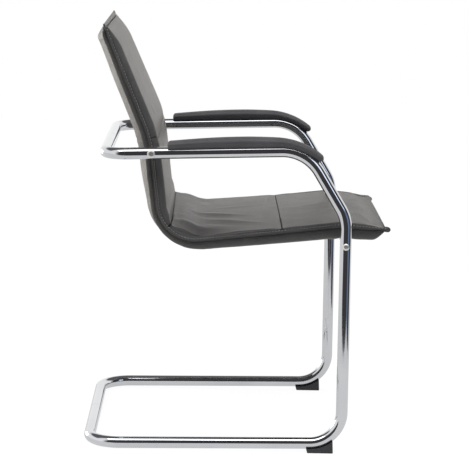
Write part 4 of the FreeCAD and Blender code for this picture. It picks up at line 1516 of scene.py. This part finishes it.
    def cross_seams(self, pads: Sequence[Panel]) -> None:
        """Lays sunk cords that close the cross seams between the pads, the black ones as painted shade in the
        seam grooves.

        Args:
            pads: Panels of the sitting side, in order.
        """
        for panel, radius, finish in zip(pads[1:], self.cord_radii, self.cord_finishes_and_seam_shade):
            path = panel.sunk_start(self.cord_depth)
            PathWork(panel.name + "_seam", path, finish, radius=radius, sides=8).build("leather")

    def stitch_corner(self) -> None:
        """Sews the rows of stitches beside the cross seam under the seat's rear corner."""
        x = np.linspace(-self.corner_row_half, self.corner_row_half, self.corner_row_points)
        height = np.full_like(x, self.corner_row_sunk - self.corner_cover)
        for number, offset in enumerate(self.corner_rows, 1):
            path = SEAM.place(np.full_like(x, SEAM.corner_seam + offset), x, height)
            thread = {"radius": self.corner_thread, "sides": STITCH_SIDES}
            name = f"corner_stitches_{number}"
            PathWork(name, path, BLACK_THREAD_AND_SEAM_SHADE, PathForm.STITCHES, **thread).build("leather")

    def build(self) -> None:
        """Makes every panel and seam."""
        pads = self.pads()
        panels = pads + self.covers()
        sheets: list[bpy.types.Object | None] = [None] * len(panels)
        sheets = [panel.lay() for panel in panels]
        panels[0].stuffing.blow()
        for panel, sheet in zip(panels, sheets):
            panel.build(sheet)
        bpy.context.scene.frame_set(1)
        for side in Side:
            SideSeam(side).build()
        EdgeSeam("top_flange", 0.0, -1, reach=0.0106, ear_reach=0.0114, lean=0.0024).build()
        EdgeSeam("front_flange", SEAM.end, 1, reach=0.0045, ear_reach=0.0142, swell=1.5, dip=0.005).build()
        self.stitch_corner()
        self.cross_seams(pads)


@dataclass
class SideTubes:
    """The two bent tubes of the frame, each swept along its centre line."""

    radius: float = 0.0125
    half_frame: float = 0.265
    joint_gap: float = 0.0006
    base_rear: tuple[float, float] = (0.312, 0.0125)
    leg_foot: tuple[float, float] = (-0.228, 0.0196)
    knee_height: float = 0.5055
    leg_lean: float = 0.45
    arm_front: tuple[float, float] = (-0.138, 0.6465)
    arm_rear: tuple[float, float] = (0.282, 0.632)
    bends: tuple[float, ...] = (0.068, 0.068, 0.080, 0.090, 0.050)
    sides: int = 64
    bend_steps: int = 40
    rim: float = 0.0004

    def centre_line(self, side: Side) -> Array:
        """Points along one tube's centre line, close together in its bends.

        Args:
            side: Which side of the chair.

        Returns:
            Points from the base joint round to the top joint.
        """
        out = self.half_frame * side.value
        joint = self.joint_gap / 2 * side.value
        leg_height = self.knee_height - self.leg_foot[1]
        knee = self.leg_foot[0] + leg_height * math.tan(math.radians(self.leg_lean))
        route = (
            (joint, *self.base_rear),
            (out, *self.base_rear),
            (out, *self.leg_foot),
            (out, knee, self.knee_height),
            (out, *self.arm_front),
            (out, *self.arm_rear),
            (joint, *self.arm_rear),
        )
        corners = [np.array(corner) for corner in route]
        rim = np.array((self.rim * side.value, 0.0, 0.0))
        runs = [[corners[0], corners[0] + rim]]
        for *three, radius in zip(corners, corners[1:], corners[2:], self.bends):
            runs.append(Bend(*three, radius).points(self.bend_steps)[0])
        runs.append([corners[-1] + rim, corners[-1]])
        return np.concatenate(runs)

    def build(self) -> None:
        """Sweeps both tubes."""
        for side in Side:
            size = {"radius": self.radius, "sides": self.sides}
            tube = PathWork(f"{side.label}_bent_tube", self.centre_line(side), CHROME, **size)
            tube.build("chrome", f"{side.label}_side_tube")


@dataclass
class ArmPads:
    """The two padded arm rests, each lofted along its arm with a drooping nose."""

    tubes: SideTubes = field(default_factory=SideTubes)
    rear: float = 0.151
    straight: float = 0.226
    nose_radius: float = 0.150
    nose_turn: float = 37.5
    nose_narrowing: float = 0.10
    half_width: float = 0.0208
    widest: float = 0.35
    tuck: float = 0.43
    tuck_ease: float = 1.3
    rear_thick: float = 0.0190
    thick: float = 0.0258
    nose_thick: float = 0.0150
    thickest_at: float = 0.46
    fall_from: float = 0.5
    fall_ease: float = 1.6
    wrap: float = 0.0070
    end_round: float = 0.0065
    end_steps: int = 8
    squareness: float = 0.72
    step: float = 0.006
    ring: int = 36

    def marks(self, total: float) -> Array:
        """Distances of the sections along the pad, close together at its ends.

        Args:
            total: Length of the pad.

        Returns:
            Distances from the rear end.
        """
        turn = np.linspace(0.0, math.pi / 2, self.end_steps)
        end = self.end_round * (1.0 - np.cos(turn))
        middle = np.linspace(self.end_round, total - self.end_round, round(total / self.step))[1:-1]
        return np.concatenate((end, middle, total - end[::-1]))

    def run(self, mark: Array) -> tuple[Array, Array]:
        """The line along the pad's underside.

        Args:
            mark: Distances from the rear end.

        Returns:
            Points and upward directions, as y and z.
        """
        rear, front = np.array(self.tubes.arm_rear), np.array(self.tubes.arm_front)
        ahead = (front - rear) / np.linalg.norm(front - rear)
        up = np.array((ahead[1], -ahead[0]))
        start = rear + ahead * ((self.rear - rear[0]) / ahead[0]) + up * (self.tubes.radius - self.wrap)
        turn = np.maximum(mark - self.straight, 0.0)[:, None] / self.nose_radius
        upward = up * np.cos(turn) + ahead * np.sin(turn)
        points = start + ahead * np.minimum(mark, self.straight)[:, None] + (upward - up) * self.nose_radius
        return points, upward

    def section(self, mark: Array, total: float) -> Array:
        """Outlines of the pad across its run.

        Args:
            mark: Distances from the rear end.
            total: Length of the pad.

        Returns:
            Rows, points round the pad, and each point's place across and height.
        """
        share = mark / total
        swell = np.sin(np.clip(share / self.thickest_at, 0.0, 1.0) * math.pi / 2)
        fall = np.clip((share - self.fall_from) / (1.0 - self.fall_from), 0.0, 1.0) ** self.fall_ease
        thick = self.rear_thick + (self.thick - self.rear_thick) * swell
        thick += (self.nose_thick - self.thick) * fall
        close = np.clip(np.minimum(mark, total - mark) / self.end_round, 0.0, 1.0)
        inset = self.end_round * (1.0 - np.sqrt(np.maximum(1.0 - (1.0 - close) ** 2, 0.0)))
        angle = np.linspace(0.0, 2 * math.pi, self.ring, endpoint=False)
        ways = (np.cos(angle), np.sin(angle))
        aside, rise = (np.sign(way) * np.abs(way) ** self.squareness for way in ways)
        narrow = 1.0 - self.tuck * np.clip(self.widest - rise, 0.0, 2.0) ** self.tuck_ease
        width = self.half_width * (1.0 - self.nose_narrowing * fall) - inset
        half = thick / 2 - inset
        return np.stack((width[:, None] * aside * narrow, thick[:, None] / 2 + half[:, None] * rise), 2)

    def build(self) -> None:
        """Lofts both pads."""
        total = self.straight + self.nose_radius * math.radians(self.nose_turn)
        mark = self.marks(total)
        points, upward = self.run(mark)
        outline = self.section(mark, total)
        for side in Side:
            rings = np.empty((*outline.shape[:2], 3))
            rings[..., 0] = side.value * self.tubes.half_frame + outline[..., 0]
            rings[..., 1:] = points[:, None] + upward[:, None] * outline[..., 1:]
            pad = loft(f"{side.label}_arm_rest", rings)
            add_subdivision(pad)
            install(pad, ARM_SKIN, "arm_pad", f"{side.label}_arm_pad")


@dataclass
class Hardware:
    """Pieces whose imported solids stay: bars, plates, screws, glides and the shell, each with its finish."""

    finishes: dict[Finish, tuple[str, ...]] = field(
        default_factory=lambda: {
            CHROME: ("seat_crossbar",),
            NICKEL: ("leg_screws", "back_screws", "back_spacers"),
            STEEL: (
                "base_joint_spigot",
                "top_joint_spigot",
                "glide_screws",
                "crossbar_plugs",
                "seat_screws",
                "seat_inserts",
                "back_inserts",
                "arm_pad_screws",
                "right_pad_insert",
                "left_pad_insert",
            ),
            PLATE_PAINT: ("right_seat_plate", "left_seat_plate"),
            GLIDE_PLASTIC: ("right_front_glide", "left_front_glide"),
            PLYWOOD: ("seat_shell",),
        }
    )

    def dress(self) -> None:
        """Puts each finish on its nodes."""
        for finish, names in self.finishes.items():
            for name in names:
                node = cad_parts[name]
                if not node.material_slots:
                    node.data.materials.append(None)
                for slot in node.material_slots:
                    slot.material = finish.material()
            LOG.info("%s on %s", finish.name, ", ".join(names))


@dataclass(frozen=True)
class Lamp:
    """A soft lamp: its place, the point that it faces, its size in two ways, its watts and its colour."""

    name: str
    at: tuple[float, float, float]
    aim: tuple[float, float, float]
    size: tuple[float, float]
    power: float
    tint: Colour
    mirrored: bool = True

    def hang(self) -> None:
        """Puts the lamp in the scene."""
        data = bpy.data.lights.new(self.name, "AREA")
        data.shape = "RECTANGLE"
        data.size, data.size_y = self.size
        data.energy = self.power
        data.color = self.tint
        lamp = bpy.data.objects.new(self.name, data)
        lamp.location = self.at
        lamp.visible_glossy = self.mirrored
        lamp.rotation_mode = "QUATERNION"
        lamp.rotation_quaternion = (Vector(self.aim) - Vector(self.at)).to_track_quat("-Z", "Y")
        bpy.context.scene.collection.objects.link(lamp)


WHITE: Colour = (1.0, 1.0, 1.0)
WARM: Colour = (1.0, 0.95, 0.88)
COOL: Colour = (0.96, 0.98, 1.0)
SKY: Colour = (0.78, 0.87, 1.0)


@dataclass
class Studio:
    """A pale floor, a soft bright room with a darker front, four lamps and the camera."""

    camera_at: tuple[float, float, float] = (-4.1294, 0.0645, 1.1404)
    yaw: float = -0.0141
    pitch: float = 0.1722
    roll: float = 0.0214
    lens: float = 144.2
    sensor: float = 36.0
    floor_front: float = -1.2
    floor_reach: float = 6.0
    floor_drop: float = 0.0002
    floor_grey: float = 0.82
    floor_glow: float = 0.80
    camera_glow: float = 0.32
    glow_share: float = 0.82
    room: Colour = (0.052, 0.050, 0.054)
    pane: Colour = (0.17, 0.23, 0.37)
    front_way: tuple[float, float] = (-0.90, -0.44)
    front_edge: tuple[float, float] = (0.05, 0.40)
    front_top: tuple[float, float] = (0.80, 0.94)
    behind_edge: tuple[float, float] = (-0.14, 0.02)
    behind_low: tuple[float, float] = (0.45, 0.60)
    behind_shade: float = 0.92
    pane_way: tuple[float, float] = (-0.62, -0.78)
    pane_edge: tuple[float, float] = (0.93, 0.985)
    pane_top: tuple[float, float] = (0.25, 0.45)
    soft_shade: float = 0.45
    soft_light: float = 0.62
    lamps: tuple[Lamp, ...] = (
        Lamp("overhead", (-1.35, 0.0, 2.9), (0.0, 0.0, 0.4), (4.0, 1.4), 44.0, COOL),
        Lamp("front_fill", (-2.2, -2.2, 1.8), (0.0, 0.0, 0.5), (1.2, 1.2), 6.5, SKY),
        Lamp("rear_rim", (0.6, 2.5, 0.9), (0.0, 0.2, 0.6), (2.0, 2.0), 16.0, WARM, mirrored=False),
        Lamp("back_sheen", (1.9, 2.2, 0.35), (0.0, 0.2, 0.6), (1.2, 1.2), 24.0, WARM),
    )

    def camera(self) -> None:
        """Sets up the camera at the photograph's place."""
        data = bpy.data.cameras.new("camera")
        data.lens = self.lens
        data.sensor_width = self.sensor
        camera = bpy.data.objects.new("camera", data)
        level = math.cos(self.pitch)
        ahead = Vector((level * math.cos(self.yaw), level * math.sin(self.yaw), -math.sin(self.pitch)))
        flat = ahead.cross(Vector((0, 0, 1))).normalized()
        lift = flat.cross(ahead)
        right = flat * math.cos(self.roll) + lift * math.sin(self.roll)
        up = lift * math.cos(self.roll) - flat * math.sin(self.roll)
        turn = Matrix((right, up, -ahead)).transposed().to_4x4()
        camera.matrix_world = Matrix.Translation(self.camera_at) @ turn
        bpy.context.scene.collection.objects.link(camera)
        bpy.context.scene.camera = camera

    def floor(self) -> None:
        """Lays the floor, pale to the camera and in reflections."""
        front, reach, level = self.floor_front, self.floor_reach, -self.floor_drop
        corners = [(front, front, level), (reach, front, level), (reach, reach, level), (front, reach, level)]
        floor = mesh_object("floor", np.array(corners), [(0, 1, 2, 3)])
        material = bpy.data.materials.new("floor_paint")
        bench = NodeBench.emptied(material)
        direct = bench.ray("Camera")
        seen = direct.larger(bench.ray("Glossy").larger(bench.ray("Transmission")))
        matt = bench.wire("ShaderNodeBsdfDiffuse", {}, {"Color": (*(self.floor_grey,) * 3, 1.0)})
        glow = {"Color": (*WHITE, 1.0), "Strength": self.floor_glow + self.camera_glow * direct}
        lit = bench.wire("ShaderNodeEmission", {}, glow)
        mixed = bench.wire("ShaderNodeMixShader", {}, {0: seen * self.glow_share, 1: matt, 2: lit})
        bench.node("ShaderNodeOutputMaterial", {}, {"Surface": mixed})
        floor.data.materials.append(material)

    def world(self) -> None:
        """Lights the room: white to the camera, bright above and behind, darker at the front."""
        world = bpy.data.worlds.new("studio")
        bench = NodeBench.emptied(world)
        toward = bench.wire("ShaderNodeTexCoord", output="Generated")
        parts = bench.node("ShaderNodeSeparateXYZ", {}, {0: toward})
        x, y, z = (Wire(bench, parts.outputs[number]) for number in range(3))
        plain = bench.ray("Camera").larger(bench.ray("Transmission"))
        glossy = bench.ray("Glossy")
        front = (self.front_way[0] * x + self.front_way[1] * y).ramp(*self.front_edge)
        front *= 1.0 - z.ramp(*self.front_top)
        behind = x.ramp(*self.behind_edge) * z.ramp(*self.behind_low) * glossy
        pane = (self.pane_way[0] * x + self.pane_way[1] * y).ramp(*self.pane_edge)
        pane *= 1.0 - z.ramp(*self.pane_top)
        shade = front.larger(self.behind_shade * behind) * (1.0 - plain)
        shade *= self.soft_shade + (1.0 - self.soft_shade) * glossy
        colour = bench.blend(shade, WHITE, bench.blend(pane, self.room, self.pane))
        strength = self.soft_light + (1.0 - self.soft_light) * plain.larger(glossy)
        shown = bench.wire("ShaderNodeBackground", {}, {"Color": colour, "Strength": strength})
        bench.node("ShaderNodeOutputWorld", {}, {"Surface": shown})
        bpy.context.scene.world = world

    def build(self) -> None:
        """Sets up the camera, floor, world and lamps."""
        bpy.context.scene.view_settings.view_transform = "Standard"
        self.camera()
        self.floor()
        self.world()
        for lamp in self.lamps:
            lamp.hang()


def main() -> None:
    """Builds the chair's visual pieces in order, then the studio."""
    logging.basicConfig(level=logging.INFO, format="%(name)s: %(message)s")
    Hardware().dress()
    SideTubes().build()
    ArmPads().build()
    Upholstery().build()
    Studio().build()


if __name__ == "__main__":
    main()
